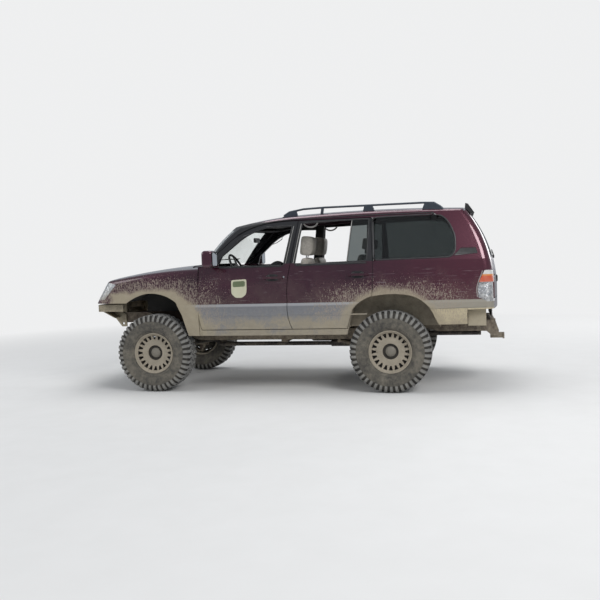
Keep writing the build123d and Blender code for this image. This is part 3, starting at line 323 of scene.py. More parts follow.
@dataclass(frozen=True)
class Finish:
    """A material whose colour, roughness and relief vary over the surface.

    Colours are linear. The dust lies in patches, more of it low on the vehicle.
    """

    name: str
    colour: Colour = (0.2, 0.2, 0.2)
    worn: Colour = (0.3, 0.3, 0.3)
    metallic: float = 0.0
    rough: float = 0.5
    rough_spread: float = 0.2
    grain: float = 60.0
    grain_depth: float = 0.0006
    dust: float = 0.3
    dust_colour: Colour = DUST
    coat: float = 0.0

    def make(self) -> bpy.types.Material:
        """Build the material.

        Returns:
            A new material.
        """
        material = bpy.data.materials.new(self.name)
        tree = Tree(material)
        self.fill(tree)
        return material

    def fill(self, tree: Tree) -> None:
        """Fill the tree with this finish.

        Args:
            tree: the node tree.
        """
        cloud = tree.noise(self.grain * 0.12, 5, 0.65)
        fine = tree.noise(self.grain, 5, 0.7)
        wear = (cloud * 0.6 + fine * 0.4).above(0.5, 0.35)
        colour = tree.mix(wear, self.colour, self.worn)
        _, _, height = tree.axes()
        low = height.below(0.9, 1.2)
        patch = (tree.noise(9.0, 6, 0.7) * 0.65 + fine * 0.35 + low * 0.22 - 0.5).above(0.62 - self.dust, 0.3)
        colour = tree.mix(patch * min(1.0, 0.45 + self.dust), colour, self.dust_colour)
        rough = self.rough + self.rough_spread * (fine - 0.5) + patch * (0.85 - self.rough)
        relief = tree.bump(fine + patch * 0.5, self.grain_depth)
        tree.surface(Base_Color=colour, Metallic=(1 - patch * 0.9) * self.metallic, Roughness=rough,
                     Normal=relief, Coat_Weight=self.coat)


@dataclass(frozen=True)
class BodyPaint(Finish):
    """Dark plum metallic paint over silver-grey lower panels, with dried mud round the wheels, painted
    sunlight on the rear quarter and a painted highlight along the top of the silver panels.
    """

    plum: Colour = (0.024, 0.0048, 0.0125)
    plum_light: Colour = (0.066, 0.0105, 0.027)
    silver: Colour = (0.135, 0.148, 0.178)
    cream: Colour = (0.56, 0.475, 0.30)
    # painted sunlight: the lighter crimson laid over the rear quarter
    sunny_plum: Colour = (0.105, 0.0125, 0.03)
    silver_light: Colour = (0.215, 0.23, 0.262)
    # painted highlight colour for the top edge of the silver panels
    silver_edge: Colour = (0.46, 0.47, 0.5)
    dusty_strip: Colour = (0.36, 0.325, 0.25)
    frame_black: Colour = (0.012, 0.012, 0.014)
    splash_tone: Colour = (0.36, 0.30, 0.235)
    scratch_tone: Colour = (0.42, 0.36, 0.37)
    shaded_mud: Colour = (0.30, 0.255, 0.18)
    frames: bool = False
    fender_rear_x: float = 1.26
    strip_front_x: float = -1.0
    quarter_front_x: float = -1.64
    strip_low_z: float = 0.944
    frame_top_z: float = 1.993
    frame_front_x: float = 1.02
    frame_rear_x: float = -1.034
    frame_y: float = 0.985
    mud_centre_z: float = 0.52

    def fill(self, tree: Tree) -> None:
        """Fill the tree with paint, panel by panel, then dirt.

        Args:
            tree: the node tree.
        """
        x, y, z = tree.axes()
        along = y.size()
        cloud = tree.noise(2.2, 4, 0.55)
        flakes = tree.cells(900.0)
        colour = tree.mix((cloud * 0.7 + flakes * 0.5).above(0.55, 0.6), self.plum, self.plum_light)
        # painted sunlight: the body turns lighter crimson towards the tail, as if the sun fell on the rear
        # quarter
        colour = tree.mix(x.below(-1.45, 1.1) * 0.55, colour, self.sunny_plum)
        behind_front_wheel = x.below(self.fender_rear_x, 0.004)
        rear_strip = x.below(self.strip_front_x, 0.004)
        lower = z.below(MOULDING_TOP_Z + 0.0005, 0.0012) * along.above(0.8, 0.01)
        silver_zone = lower * behind_front_wheel
        silver = tree.mix(tree.noise(30.0, 4, 0.6), self.silver, self.silver_light)
        # painted highlight: the top 3 cm of the silver panels turn pale, as if catching light under the
        # moulding
        silver = tree.mix(z.above(MOULDING_TOP_Z - 0.03, 0.012) * 0.8, silver, self.silver_edge)
        colour = tree.mix(silver_zone, colour, silver)
        cream_zone = lower * x.below(self.quarter_front_x, 0.004) * z.below(self.strip_low_z, 0.003)
        colour = tree.mix(cream_zone, colour, self.cream)
        pale_strip = lower * rear_strip * z.above(self.strip_low_z, 0.003)
        colour = tree.mix(pale_strip * 0.78, colour, self.dusty_strip)
        frame_zone = z.above(BELT_Z + 0.012, 0.003) * z.below(self.frame_top_z, 0.003)
        frame_zone = frame_zone * x.below(self.frame_front_x, 0.01)
        if not self.frames:
            frame_zone = frame_zone * x.above(self.frame_rear_x, 0.003)
        frame_zone = frame_zone * along.below(self.frame_y, 0.003)
        colour = tree.mix(frame_zone, colour, self.frame_black)
        colour, mud, rough = self.dirty(tree, colour, silver_zone, frame_zone)
        orange_peel = tree.noise(260.0, 2, 0.5)
        relief = tree.bump(orange_peel, 0.00006)
        relief = tree.bump(mud * tree.noise(120.0, 6, 0.75), 0.0035, after=relief)
        metal = (1 - mud) * (1 - frame_zone) * 0.45
        tree.surface(Base_Color=colour, Metallic=metal, Roughness=rough, Normal=relief,
                     Coat_Weight=(1 - mud) * (1 - frame_zone) * 0.9, Coat_Roughness=0.07)

    def dirty(self, tree: Tree, colour: Wire, silver_zone: Wire, frame_zone: Wire) -> tuple[Wire, Wire, Wire]:
        """Lay dirt over the paint.

        Args:
            tree: the node tree.
            colour: the clean colour.
            silver_zone: mask of the silver panels.
            frame_zone: mask of the black window frames.

        Returns:
            The dirty colour, the mask of thick mud and the roughness.
        """
        x, y, z = tree.axes()
        outer = y.size().above(0.7, 0.1)
        front = self.around(tree, FRONT_AXLE_X, self.mud_centre_z)
        rear = self.around(tree, REAR_AXLE_X, self.mud_centre_z)
        edge = tree.noise(7.0, 6, 0.68)
        blot = tree.noise(26.0, 6, 0.75)
        rim_front = front.below(0.735 + (edge - 0.5) * 0.22, 0.05)
        rim_rear = rear.below(0.672 + (edge - 0.5) * 0.12, 0.06)
        nose_mud = x.above(1.55, 0.1) * z.below(1.20 + (edge - 0.5) * 0.12, 0.04)
        nose_mud = nose_mud * (x + edge * 0.2).below(2.33, 0.08)
        low_edge = z.below(0.865 + (edge - 0.5) * 0.34, 0.09) * x.below(1.3, 0.05)
        sweep = tree.noise(3.1, 3, 0.5, warp=0.6)
        low_edge = low_edge * (sweep * 0.9 + blot * 0.6).above(0.62, 0.25)
        thick = (rim_front * z.below(1.235, 0.08) | nose_mud | rim_rear * 0.8 | low_edge * 0.85) * outer
        thick = thick * (blot * 1.6 + 0.25).above(0.5, 0.5)
        streak = tree.noise(1.0, 5, 0.7, vector=tree.stretched(95.0, 95.0, 24.0))
        speck = tree.cells(1.0, vector=tree.stretched(130.0, 130.0, 62.0))
        near_front = front.below(1.18, 0.75) * z.below(1.43, 0.25)
        near_rear = rear.below(1.08, 0.55) * z.below(1.30, 0.28)
        lowness = z.below(1.16, 0.36) * 0.5
        dense = (near_front | near_rear | lowness | 0.05) * z.below(1.56, 0.2)
        splash = (streak * 0.75 + (1 - speck) * 0.25 + dense * 0.235).above(0.745, 0.05) * outer
        splash = splash * (1 - frame_zone)
        film = tree.noise(5.0, 5, 0.6) * 0.5 + z.below(1.15, 0.9) * 0.42 + silver_zone * 0.12
        film = film.above(0.60, 0.5) * 0.26 * outer
        scratch = tree.noise(1.0, 2, 0.5, vector=tree.stretched(5.0, 5.0, 190.0), warp=0.4)
        scratch = scratch.above(0.69, 0.02) * z.between(0.95, 1.42, 0.05) * x.below(1.05, 0.1) * 0.5
        mud_tone = tree.mix(tree.noise(14.0, 5, 0.6), MUD, self.shaded_mud)
        colour = tree.mix(film, colour, DUST)
        colour = tree.mix(scratch, colour, self.scratch_tone)
        colour = tree.mix(splash * 0.72, colour, self.splash_tone)
        colour = tree.mix(thick * 0.93, colour, mud_tone)
        mud = thick | splash * 0.5
        rough = 0.24 + film * 0.9 + frame_zone * 0.2 + mud * 0.5 + silver_zone * 0.12
        return colour, mud, rough & 0.95

    def around(self, tree: Tree, axle_x: float, axle_z: float) -> Wire:
        """Distance from an axle, seen from the side."""
        x, _, z = tree.axes()
        return ((x - axle_x) * (x - axle_x) + (z - axle_z) * (z - axle_z)) ** 0.5


@dataclass(frozen=True)
class Glazing(Finish):
    """Tinted glass with a dusty film in streaks."""

    tint: Colour = (0.62, 0.68, 0.66)
    see_through: float = 1.0
    film: float = 0.10
    gloss: float = 0.5

    def fill(self, tree: Tree) -> None:
        """Fill the tree with glass.

        Args:
            tree: the node tree.
        """
        streaks = tree.noise(1.0, 5, 0.7, vector=tree.stretched(7.0, 7.0, 3.0))
        dust = (streaks * 0.6 + tree.noise(160.0, 4, 0.7) * 0.4).above(0.62, 0.4) * self.film
        colour = tree.mix(dust, self.tint, (0.55, 0.5, 0.42))
        rough = 0.015 + dust * 0.9
        tree.surface(Base_Color=colour, Roughness=rough, Transmission_Weight=self.see_through, IOR=1.45,
                     Specular_IOR_Level=self.gloss, Coat_Weight=self.coat,
                     Normal=tree.bump(streaks, 0.00005))


@dataclass(frozen=True)
class TailLens(Finish):
    """Tail lamp: clear top, amber-red band, and a lower part with its lens broken away."""

    red_low_z: float = 1.228
    red_high_z: float = 1.312

    def fill(self, tree: Tree) -> None:
        """Fill the tree with the lamp's bands.

        Args:
            tree: the node tree.
        """
        _, y, z = tree.axes()
        flute = tree.flutes("Z", 42.0)
        clear = tree.mix(flute, (0.62, 0.62, 0.60), (0.86, 0.86, 0.84))
        red = tree.mix(flute, (0.52, 0.05, 0.018), (0.78, 0.12, 0.03))
        shards = tree.node("ShaderNodeTexVoronoi", {"feature": "F1"}, Vector=tree.place(), Scale=46.0, out=1)
        grey = tree.node("ShaderNodeRGBToBW", {}, shards)
        reflector = tree.mix(grey, (0.22, 0.24, 0.27), (0.85, 0.87, 0.9))
        colour = tree.mix(z.between(self.red_low_z, self.red_high_z, 0.004), clear, red)
        amber_line = z.between(self.red_high_z - 0.016, self.red_high_z, 0.003)
        colour = tree.mix(amber_line, colour, (0.8, 0.27, 0.04))
        lower = z.below(self.red_low_z - 0.002, 0.003)
        lower_left = lower * y.above(0.0, 0.01)
        lower_right = lower * y.below(0.0, 0.01)
        colour = tree.mix(lower_left, colour, reflector)
        colour = tree.mix(lower_right, colour, red)
        dust = (tree.noise(20.0, 5, 0.7) + (1.32 - z) * 0.6).above(0.62, 0.4) * 0.45
        colour = tree.mix(dust, colour, DUST)
        relief = tree.bump(flute, 0.0008)
        relief = tree.bump(lower_left * grey, 0.012, after=relief)
        tree.surface(Base_Color=colour, Roughness=0.09 + dust * 0.8, Metallic=lower_left * (1 - dust) * 0.85,
                     Normal=relief, Coat_Weight=0.5, Coat_Roughness=0.05)


@dataclass(frozen=True)
class Lens(Finish):
    """Head lamp glass over a fluted reflector, hazed by dust at its foot."""

    def fill(self, tree: Tree) -> None:
        """Fill the tree with lamp glass.

        Args:
            tree: the node tree.
        """
        _, _, z = tree.axes()
        flute = tree.flutes("Y", 26.0)
        haze = (tree.noise(11.0, 5, 0.7) * 0.7 + z.below(1.2, 0.25) * 0.5).above(0.6, 0.5)
        colour = tree.mix(flute, (0.66, 0.69, 0.72), (0.84, 0.86, 0.88))
        colour = tree.mix(haze * 0.75, colour, MUD)
        tree.surface(Base_Color=colour, Roughness=0.06 + haze * 0.7, Transmission_Weight=0.55, IOR=1.45,
                     Normal=tree.bump(flute, 0.0006), Coat_Weight=0.6)


def wheel_polar(tree: Tree) -> tuple[Wire, Wire]:
    """Distance from the nearer axle and angle round it, seen from the side.

    Args:
        tree: the node tree.

    Returns:
        The distance and the angle.
    """
    x, _, z = tree.axes()
    near = x.above(0.2, 0.01)
    ahead = near * (x - FRONT_AXLE_X) + (1 - near) * (x - REAR_AXLE_X)
    height = z - AXLE_Z
    return (ahead * ahead + height * height) ** 0.5, tree.maths("ARCTAN2", height, ahead)


@dataclass(frozen=True)
class WheelSteel(Finish):
    """Dusty tan disc with a grey cap, and painted shade in the wheel's inner bowl, in the recess round the
    cap and on and behind the vents.
    """

    cap_radius: float = 0.0585
    recess_radius: float = 0.100
    vent_low: float = 0.1635
    vent_high: float = 0.2125
    bowl_radius: float = 0.222
    bowl_depth: float = 0.040

    def fill(self, tree: Tree) -> None:
        """Fill the tree with steel, zone by zone from the axle outward.

        Args:
            tree: the node tree.
        """
        _, y, _ = tree.axes()
        radius, angle = wheel_polar(tree)
        depth = y.size() - WHEEL_Y
        wave = tree.maths("SINE", angle * 10.0).size()
        # the vent mask is a little wider than the holes, so their chamfers get painted shade too
        vent = wave.below((radius - 0.165) * 7.1 + 0.56, 0.05)
        vent = vent * radius.between(self.vent_low, self.vent_high, 0.002)
        cloud = tree.noise(9.0, 6, 0.7)
        fine = tree.noise(90.0, 5, 0.7)
        shade = (cloud * 0.6 + fine * 0.4).above(0.5, 0.3)
        colour = tree.mix(shade, (0.27, 0.235, 0.18), (0.40, 0.35, 0.275))
        rust = (tree.noise(40.0, 6, 0.75) + radius.between(0.15, 0.23, 0.02) * 0.05).above(0.66, 0.06)
        colour = tree.mix(rust * 0.7, colour, (0.12, 0.075, 0.045))
        recess = radius.between(0.060, self.recess_radius, 0.006) * depth.below(0.064, 0.008)
        # painted shade: the inner bowl, the recess round the cap and the vents turn near black
        deep = (depth.below(self.bowl_depth, 0.012) * radius.below(self.bowl_radius, 0.004)) | recess | vent
        colour = tree.mix(deep * 0.92, colour, (0.016, 0.014, 0.012))
        cap = radius.below(self.cap_radius, 0.002) * depth.above(self.bowl_depth, 0.004)
        colour = tree.mix(cap, colour, (0.235, 0.215, 0.18))
        dust = (fine * 0.5 + cloud * 0.5).above(0.5, 0.3)
        tree.surface(Base_Color=colour, Metallic=cap * 0.3, Roughness=0.55 + dust * 0.35,
                     Normal=tree.bump(fine + rust * 0.6, 0.0008))


@dataclass(frozen=True)
class TyreRubber(Finish):
    """Dusty rubber: tan side walls, pale lugs, and painted shade in the gaps between the lugs and in a groove
    round each side wall.
    """

    lug_foot: float = 0.384
    lug_top: float = 0.462

    def fill(self, tree: Tree) -> None:
        """Fill the tree with rubber, in the wheel's own frame.

        Args:
            tree: the node tree.
        """
        radius, angle = wheel_polar(tree)
        _, y, _ = tree.axes()
        outer = (y.size() - WHEEL_Y).above(0.0, 0.01)
        left = y.above(0.0, 0.01)
        first_row = outer * left + (1 - outer) * (1 - left)
        phase = (0.65 - first_row * 0.5) * 2 * math.pi
        wave = tree.maths("COSINE", angle * TYRE_PITCHES - phase)
        between_lugs = wave.below(-0.25, 0.25) * radius.between(self.lug_foot, self.lug_top, 0.006)
        fine = tree.noise(140.0, 6, 0.75)
        cloud = tree.noise(6.5, 6, 0.7)
        colour = tree.mix(fine, (0.022, 0.022, 0.023), (0.048, 0.047, 0.046))
        wide = tree.noise(22.0, 5, 0.7)
        dust = (cloud * 0.55 + wide * 0.3 + fine * 0.3).above(0.555, 0.28)
        grey_dust = tree.mix(wide, (0.16, 0.145, 0.12), (0.27, 0.24, 0.185))
        colour = tree.mix(dust * 0.8 * radius.below(0.452, 0.02), colour, grey_dust)
        lug_dust = tree.mix(wide, (0.17, 0.172, 0.172), (0.29, 0.28, 0.26))
        colour = tree.mix(radius.above(0.4585, 0.005) * (0.55 + cloud * 0.5), colour, lug_dust)
        # painted shade: the groove and the gaps between lugs turn near black
        groove = radius.between(0.436, 0.4535, 0.004)
        colour = tree.mix((groove | between_lugs) * 0.78, colour, (0.018, 0.017, 0.016))
        lug_faces = wave.above(0.0, 0.3) * radius.between(self.lug_foot + 0.004, self.lug_top, 0.008)
        colour = tree.mix(lug_faces * (0.35 + cloud * 0.5), colour, (0.30, 0.295, 0.28))
        tree.surface(Base_Color=colour, Roughness=0.82 + 0.12 * fine, Normal=tree.bump(fine, 0.0011))


@dataclass(frozen=True)
class CabFloor(Finish):
    """Grey carpet inside the cab and dried mud on the outer faces."""

    under_z: float = 0.752
    tail_x: float = -2.03
    flank_y: float = 0.785

    def fill(self, tree: Tree) -> None:
        """Fill the tree with carpet, then mud where the floor shows from outside.

        Args:
            tree: the node tree.
        """
        x, y, z = tree.axes()
        pile = tree.noise(320.0, 4, 0.8)
        cloud = tree.noise(12.0, 5, 0.65)
        colour = tree.mix(pile * 0.6 + cloud * 0.4, self.colour, self.worn)
        tail_corner = x.below(self.tail_x, 0.01) * y.size().above(self.flank_y, 0.004)
        outside = z.below(self.under_z, 0.01) | tail_corner
        mud = tree.mix(cloud, (0.30, 0.26, 0.19), (0.46, 0.405, 0.30))
        colour = tree.mix(outside, colour, mud)
        relief = tree.bump(pile * (1 - outside) + cloud * outside, 0.002)
        tree.surface(Base_Color=colour, Roughness=0.88 + 0.1 * pile, Normal=relief)


@dataclass(frozen=True)
class Hide(Finish):
    """Pebbled hide for the seats, with painted shade along its creases."""

    def fill(self, tree: Tree) -> None:
        """Fill the tree with hide.

        Args:
            tree: the node tree.
        """
        pebble = tree.node("ShaderNodeTexVoronoi", {"feature": "SMOOTH_F1"}, Vector=tree.place(), Scale=420.0,
                           Smoothness=0.4)
        crease = tree.noise(14.0, 6, 0.7, warp=0.8)
        fold = crease.between(0.47, 0.53, 0.05)
        colour = tree.mix((crease + pebble * 0.4).above(0.62, 0.5), self.colour, self.worn)
        # painted shade: the hide darkens along its creases
        colour = tree.mix(fold * 0.28, colour, (0.2, 0.175, 0.15))
        relief = tree.bump(pebble, 0.0007)
        relief = tree.bump(fold, 0.0012, after=relief)
        tree.surface(Base_Color=colour, Roughness=0.42 + 0.2 * crease, Normal=relief)


@dataclass(frozen=True)
class StudioFloor(Finish):
    """Pale studio floor that fades into the backdrop away from the vehicle."""

    fade_radius: float = 7.0

    def fill(self, tree: Tree) -> None:
        """Fill the tree with the floor's two looks.

        Args:
            tree: the node tree.
        """
        x, y, _ = tree.axes()
        grain = tree.noise(3.0, 4, 0.6)
        colour = tree.mix(grain, (0.70, 0.695, 0.68), (0.76, 0.755, 0.745))
        lit = tree.node("ShaderNodeBsdfPrincipled", {}, Base_Color=colour, Roughness=0.9)
        far = ((x * x + y * y) ** 0.5).above(self.fade_radius, self.fade_radius)
        seen = tree.node("ShaderNodeLightPath", {}, out="Is Camera Ray")
        glow = tree.node("ShaderNodeEmission", {}, Color=BACKDROP, Strength=1.0)
        blend = tree.node("ShaderNodeMixShader", {}, far * seen, lit, glow)
        tree.raw("ShaderNodeOutputMaterial", {}, [blend], {})


class Paints:
    """Every finish by a short name, made once."""

    table: tuple[Finish, ...] = (
        BodyPaint("plum_paint"),
        BodyPaint("door_paint", frames=True),
        Finish("trim_black", (0.012, 0.012, 0.013), (0.03, 0.03, 0.031), rough=0.42, grain=180,
               grain_depth=0.0003, dust=0.22),
        Finish("rail_satin", (0.045, 0.055, 0.072), (0.075, 0.085, 0.1), metallic=0.5, rough=0.36,
               grain=240, grain_depth=0.0002, dust=0.2),
        Finish("steel_muddy", (0.05, 0.046, 0.043), (0.15, 0.105, 0.075), metallic=0.55, rough=0.6,
               grain=45, grain_depth=0.0016, dust=0.46),
        Finish("steel_dark", (0.022, 0.021, 0.021), (0.06, 0.05, 0.043), metallic=0.4, rough=0.55, grain=55,
               grain_depth=0.0012, dust=0.33),
        Finish("liner_dark", (0.012, 0.012, 0.012), (0.035, 0.032, 0.028), rough=0.8, grain=40, dust=0.3),
        Finish("liner_tan", (0.16, 0.14, 0.11), (0.27, 0.235, 0.18), rough=0.85, grain=24,
               grain_depth=0.002, dust=0.5),
        Finish("bar_muddy", (0.07, 0.062, 0.052), (0.2, 0.17, 0.125), metallic=0.4, rough=0.6, grain=40,
               grain_depth=0.0025, dust=0.6, dust_colour=MUD),
        WheelSteel("rim_steel"),
        Finish("cast_iron", (0.045, 0.04, 0.036), (0.13, 0.085, 0.055), metallic=0.5, rough=0.7, grain=70,
               grain_depth=0.0014, dust=0.3),
        Finish("spring_dark", (0.016, 0.017, 0.02), (0.05, 0.05, 0.05), metallic=0.3, rough=0.5, grain=80,
               dust=0.34),
        Finish("bright_metal", (0.55, 0.56, 0.58), (0.7, 0.7, 0.71), metallic=0.95, rough=0.25, grain=160,
               dust=0.16),
        Finish("dash_grey", (0.035, 0.035, 0.038), (0.06, 0.06, 0.062), rough=0.62, grain=420,
               grain_depth=0.0004, dust=0.12),
        Finish("wheel_grip", (0.014, 0.014, 0.015), (0.03, 0.03, 0.03), rough=0.46, grain=350,
               grain_depth=0.0004, dust=0.08),
        CabFloor("cab_floor", (0.06, 0.057, 0.053), (0.11, 0.1, 0.092)),
        Finish("lining_pale", (0.47, 0.45, 0.42), (0.55, 0.53, 0.5), rough=0.85, grain=380,
               grain_depth=0.0008, dust=0.03),
        Finish("seal_pale", (0.32, 0.31, 0.29), (0.45, 0.44, 0.41), rough=0.5, grain=150, dust=0.2),
        Finish("sticker_cream", (0.52, 0.5, 0.36), (0.62, 0.6, 0.45), rough=0.42, grain=60,
               grain_depth=0.0002, dust=0.3),
        Finish("sticker_green", (0.10, 0.13, 0.07), (0.16, 0.19, 0.1), rough=0.42, grain=60,
               grain_depth=0.0002, dust=0.3),
        Finish("mirror_face", (0.72, 0.74, 0.76), (0.75, 0.77, 0.79), metallic=1.0, rough=0.04,
               rough_spread=0.03, grain=120, grain_depth=0.00002, dust=0.02),
        TyreRubber("tyre_rubber"),
        Hide("seat_hide", (0.50, 0.46, 0.40), (0.60, 0.56, 0.50)),
        Glazing("glass_clear", tint=(0.82, 0.86, 0.85), film=0.22),
        Glazing("glass_dark", tint=(0.15, 0.17, 0.17), film=0.12),
        Glazing("glass_gate", tint=(0.012, 0.013, 0.015), film=0.15, see_through=0.35, gloss=0.0,
                coat=0.22),
        TailLens("tail_lens"),
        Lens("head_lens"),
        StudioFloor("studio_floor"),
    )

    def __init__(self) -> None:
        """Start with nothing made."""
        self.made: dict[str, bpy.types.Material] = {}

    def __getitem__(self, name: str) -> bpy.types.Material:
        """The material of that name, made when first asked for.

        Args:
            name: the finish's name.

        Returns:
            Its material.
        """
        if name not in self.made:
            finish = next(one for one in self.table if one.name == name)
            self.made[name] = finish.make()
        return self.made[name]


PAINTS = Paints()


# Mesh tools


def turns(count: int) -> list[float]:
    """Even angles round a circle."""
    return [2 * math.pi * step / count for step in range(count)]


def mean_point(points: Sequence[Sequence[float]]) -> Vector:
    """The middle of some points."""
    return sum((Vector(point) for point in points), Vector([0.0] * len(points[0]))) / len(points)


def each_wheel() -> list[tuple[str, Side, Point]]:
    """The four wheels, each as its axle's name, its side and its middle."""
    return [(axle, side, (axle_x, side.value * WHEEL_Y, AXLE_Z))
            for side in Side for axle_x, axle in ((FRONT_AXLE_X, "front"), (REAR_AXLE_X, "rear"))]


class Builder:
    """Collects points and faces into one mesh piece."""

    def __init__(self) -> None:
        """Start empty."""
        self.points: list[Point] = []
        self.faces: list[tuple[int, ...]] = []

    def add(self, points: Iterable[Sequence[float]], faces: Iterable[Sequence[int]]) -> None:
        """Add points, and faces that count from the first of them.

        Args:
            points: the points.
            faces: the faces, each as indices of its points.
        """
        base = len(self.points)
        self.points.extend(tuple(point) for point in points)
        self.faces.extend(tuple(index + base for index in face) for face in faces)

    def grid(self, rows: Sequence[Sequence[Sequence[float]]], close_rows: bool = False,
             close_columns: bool = False, caps: bool = False) -> None:
        """Add a skin over rows of points.

        Args:
            rows: rows with the same number of points.
            close_rows: join each row's end to its start.
            close_columns: join the last row to the first.
            caps: close the first and last rows with a face.
        """
        width = len(rows[0])
        points = [point for row in rows for point in row]
        faces = []
        row_count = len(rows)
        for row in range(row_count if close_columns else row_count - 1):
            for column in range(width if close_rows else width - 1):
                first = row * width + column
                second = row * width + (column + 1) % width
                after = ((row + 1) % row_count) * width
                faces.append((first, second, after + (column + 1) % width, after + column))
        if caps:
            faces.append(tuple(range(width))[::-1])
            faces.append(tuple((row_count - 1) * width + index for index in range(width)))
        self.add(points, faces)

    def close_last(self, count: int) -> None:
        """Close the last ring of count points with a face."""
        base = len(self.points) - count
        self.faces.append(tuple(range(base, base + count)))

    def tube(self, path: Sequence[Vector], radius: float, sides: int = 8, flat: float = 1.0) -> None:
        """Add a round bar along a path.

        Args:
            path: its middle line.
            radius: its half thickness.
            sides: points round it.
            flat: thickness across the path's second direction, as a share.
        """
        rows = []
        last = len(path) - 1
        for index, point in enumerate(path):
            along = (path[min(index + 1, last)] - path[max(index - 1, 0)]).normalized()
            guide = Vector((0, 1, 0)) if abs(along.y) < 0.9 else Vector((0, 0, 1))
            across = along.cross(guide).normalized()
            up = across.cross(along)
            rows.append([point + across * radius * math.cos(turn) + up * radius * flat * math.sin(turn)
                         for turn in turns(sides)])
        self.grid(rows, close_rows=True, caps=True)

    def box(self, low: Sequence[float], high: Sequence[float]) -> None:
        """Add a box between two corners.

        Args:
            low: the corner with the smallest coordinates.
            high: the opposite corner.
        """
        xs, ys, zs = zip(low, high)
        self.add([(x, y, z) for z in zs for y in ys for x in xs],
                 [(0, 2, 3, 1), (4, 5, 7, 6), (0, 1, 5, 4), (2, 6, 7, 3), (0, 4, 6, 2), (1, 3, 7, 5)])

    def spun(self, profile: Sequence[Flat], centre: Sequence[float], steps: int, side: float = 1.0) -> None:
        """Add a ring or disc turned about a line along y.

        Args:
            profile: its section as distances along y and radii.
            centre: its middle.
            steps: points round it.
            side: which way the first distance goes.
        """
        x, y, z = centre
        rows = [[(x + radius * math.cos(turn), y + side * across, z + radius * math.sin(turn))
                 for turn in turns(steps)] for across, radius in profile]
        self.grid(rows, close_rows=True)

    def piece(self, name: str, finish: str, body: str, smooth: float = 30.0, bevel: float = 0.0,
              thick: float = 0.0, subdivide: int = 0) -> bpy.types.Object:
        """Make the object, give it its finish and let it ride.

        Args:
            name: the piece's name.
            finish: its finish's name.
            body: the body that it moves with.
            smooth: edges sharper than this many degrees stay sharp.
            bevel: the width of its rounded edges, or 0.
            thick: thickness given to a skin, or 0.
            subdivide: rounds of subdivision.

        Returns:
            The object.
        """
        mesh = bpy.data.meshes.new(name)
        mesh.from_pydata(self.points, [], self.faces)
        shape = bmesh.new()
        shape.from_mesh(mesh)
        bmesh.ops.remove_doubles(shape, verts=shape.verts, dist=1e-6)
        bmesh.ops.recalc_face_normals(shape, faces=shape.faces)
        if bevel:
            sharp = [edge for edge in shape.edges if len(edge.link_faces) == 2
                     and edge.calc_face_angle() > math.radians(smooth)]
            bmesh.ops.bevel(shape, geom=sharp, offset=bevel, segments=2, affect="EDGES", clamp_overlap=True)
        shape.to_mesh(mesh)
        shape.free()
        thing = bpy.data.objects.new(name, mesh)
        bpy.context.scene.collection.objects.link(thing)
        if thick:
            solid = thing.modifiers.new("thickness", "SOLIDIFY")
            solid.thickness = thick
            solid.offset = 0
        if subdivide:
            rounder = thing.modifiers.new("rounder", "SUBSURF")
            rounder.levels = subdivide
            rounder.render_levels = subdivide
        apply_modifiers(thing)
        soften(thing, smooth)
        thing.data.materials.append(PAINTS[finish])
        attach(thing, body)
        LOG.info("piece %s on %s", name, body)
        return thing


def apply_modifiers(thing: bpy.types.Object) -> None:
    """Turn an object's modifiers into its mesh.

    Args:
        thing: the object.
    """
    if not thing.modifiers:
        return
    bpy.context.view_layer.update()
    graph = bpy.context.evaluated_depsgraph_get()
    mesh = bpy.data.meshes.new_from_object(thing.evaluated_get(graph))
    thing.modifiers.clear()
    thing.data = mesh


def soften(thing: bpy.types.Object, angle: float) -> None:
    """Shade smooth, with edges sharper than angle degrees left sharp.

    Args:
        thing: the object.
        angle: the limit in degrees.
    """
    mesh = thing.data
    shape = bmesh.new()
    shape.from_mesh(mesh)
    for face in shape.faces:
        face.smooth = True
    limit = math.radians(angle)
    for edge in shape.edges:
        edge.smooth = not (len(edge.link_faces) == 2 and edge.calc_face_angle(0) > limit)
    shape.to_mesh(mesh)
    shape.free()


class Skin:
    """The outer surface of some of the frame's nodes, for placing pieces on it."""

    def __init__(self, *nodes: str) -> None:
        """Read the nodes' meshes.

        Args:
            nodes: the nodes' names.
        """
        points: list[Vector] = []
        faces: list[tuple[int, ...]] = []
        for name in nodes:
            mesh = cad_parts[name].data
            base = len(points)
            points.extend(vertex.co.copy() for vertex in mesh.vertices)
            faces.extend(tuple(index + base for index in polygon.vertices) for polygon in mesh.polygons)
        self.tree = BVHTree.FromPolygons(points, faces)

    def hit(self, start: Sequence[float], direction: Sequence[float]) -> Optional[tuple[Vector, Vector]]:
        """First point and outward normal that a ray meets, or None.

        Args:
            start: where the ray starts.
            direction: which way it goes.

        Returns:
            The point and normal, or None.
        """
        point, normal, _, _ = self.tree.ray_cast(Vector(start), Vector(direction))
        if point is None:
            return None
        if normal.dot(Vector(direction)) > 0:
            normal = -normal
        return point, normal

    def side(self, x: float, z: float, side: Side) -> tuple[Vector, Vector]:
        """Point on the flank at an x and z, and its normal.

        Args:
            x: place along the vehicle.
            z: height.
            side: which flank.

        Returns:
            The point and normal, or ones at the usual half width where the flank is open.
        """
        found = self.hit((x, side.value * 1.6, z), (0, -side.value, 0))
        if found is None or abs(found[0].y) < 0.6:
            return Vector((x, side.value * FLANK_Y, z)), Vector((0, side.value, 0))
        return found

    def front(self, y: float, z: float) -> Optional[tuple[Vector, Vector]]:
        """Point on the nose at a y and z."""
        return self.hit((4, y, z), (-1, 0, 0))

    def back(self, y: float, z: float) -> Optional[tuple[Vector, Vector]]:
        """Point on the tail at a y and z."""
        return self.hit((-4, y, z), (1, 0, 0))

    def top(self, x: float, y: float) -> Optional[tuple[Vector, Vector]]:
        """Point on the top at an x and y."""
        return self.hit((x, y, 4), (0, 0, -1))


@lru_cache(maxsize=None)
def skin_of(*nodes: str) -> Skin:
    """The skin of some nodes, read once."""
    return Skin(*nodes)


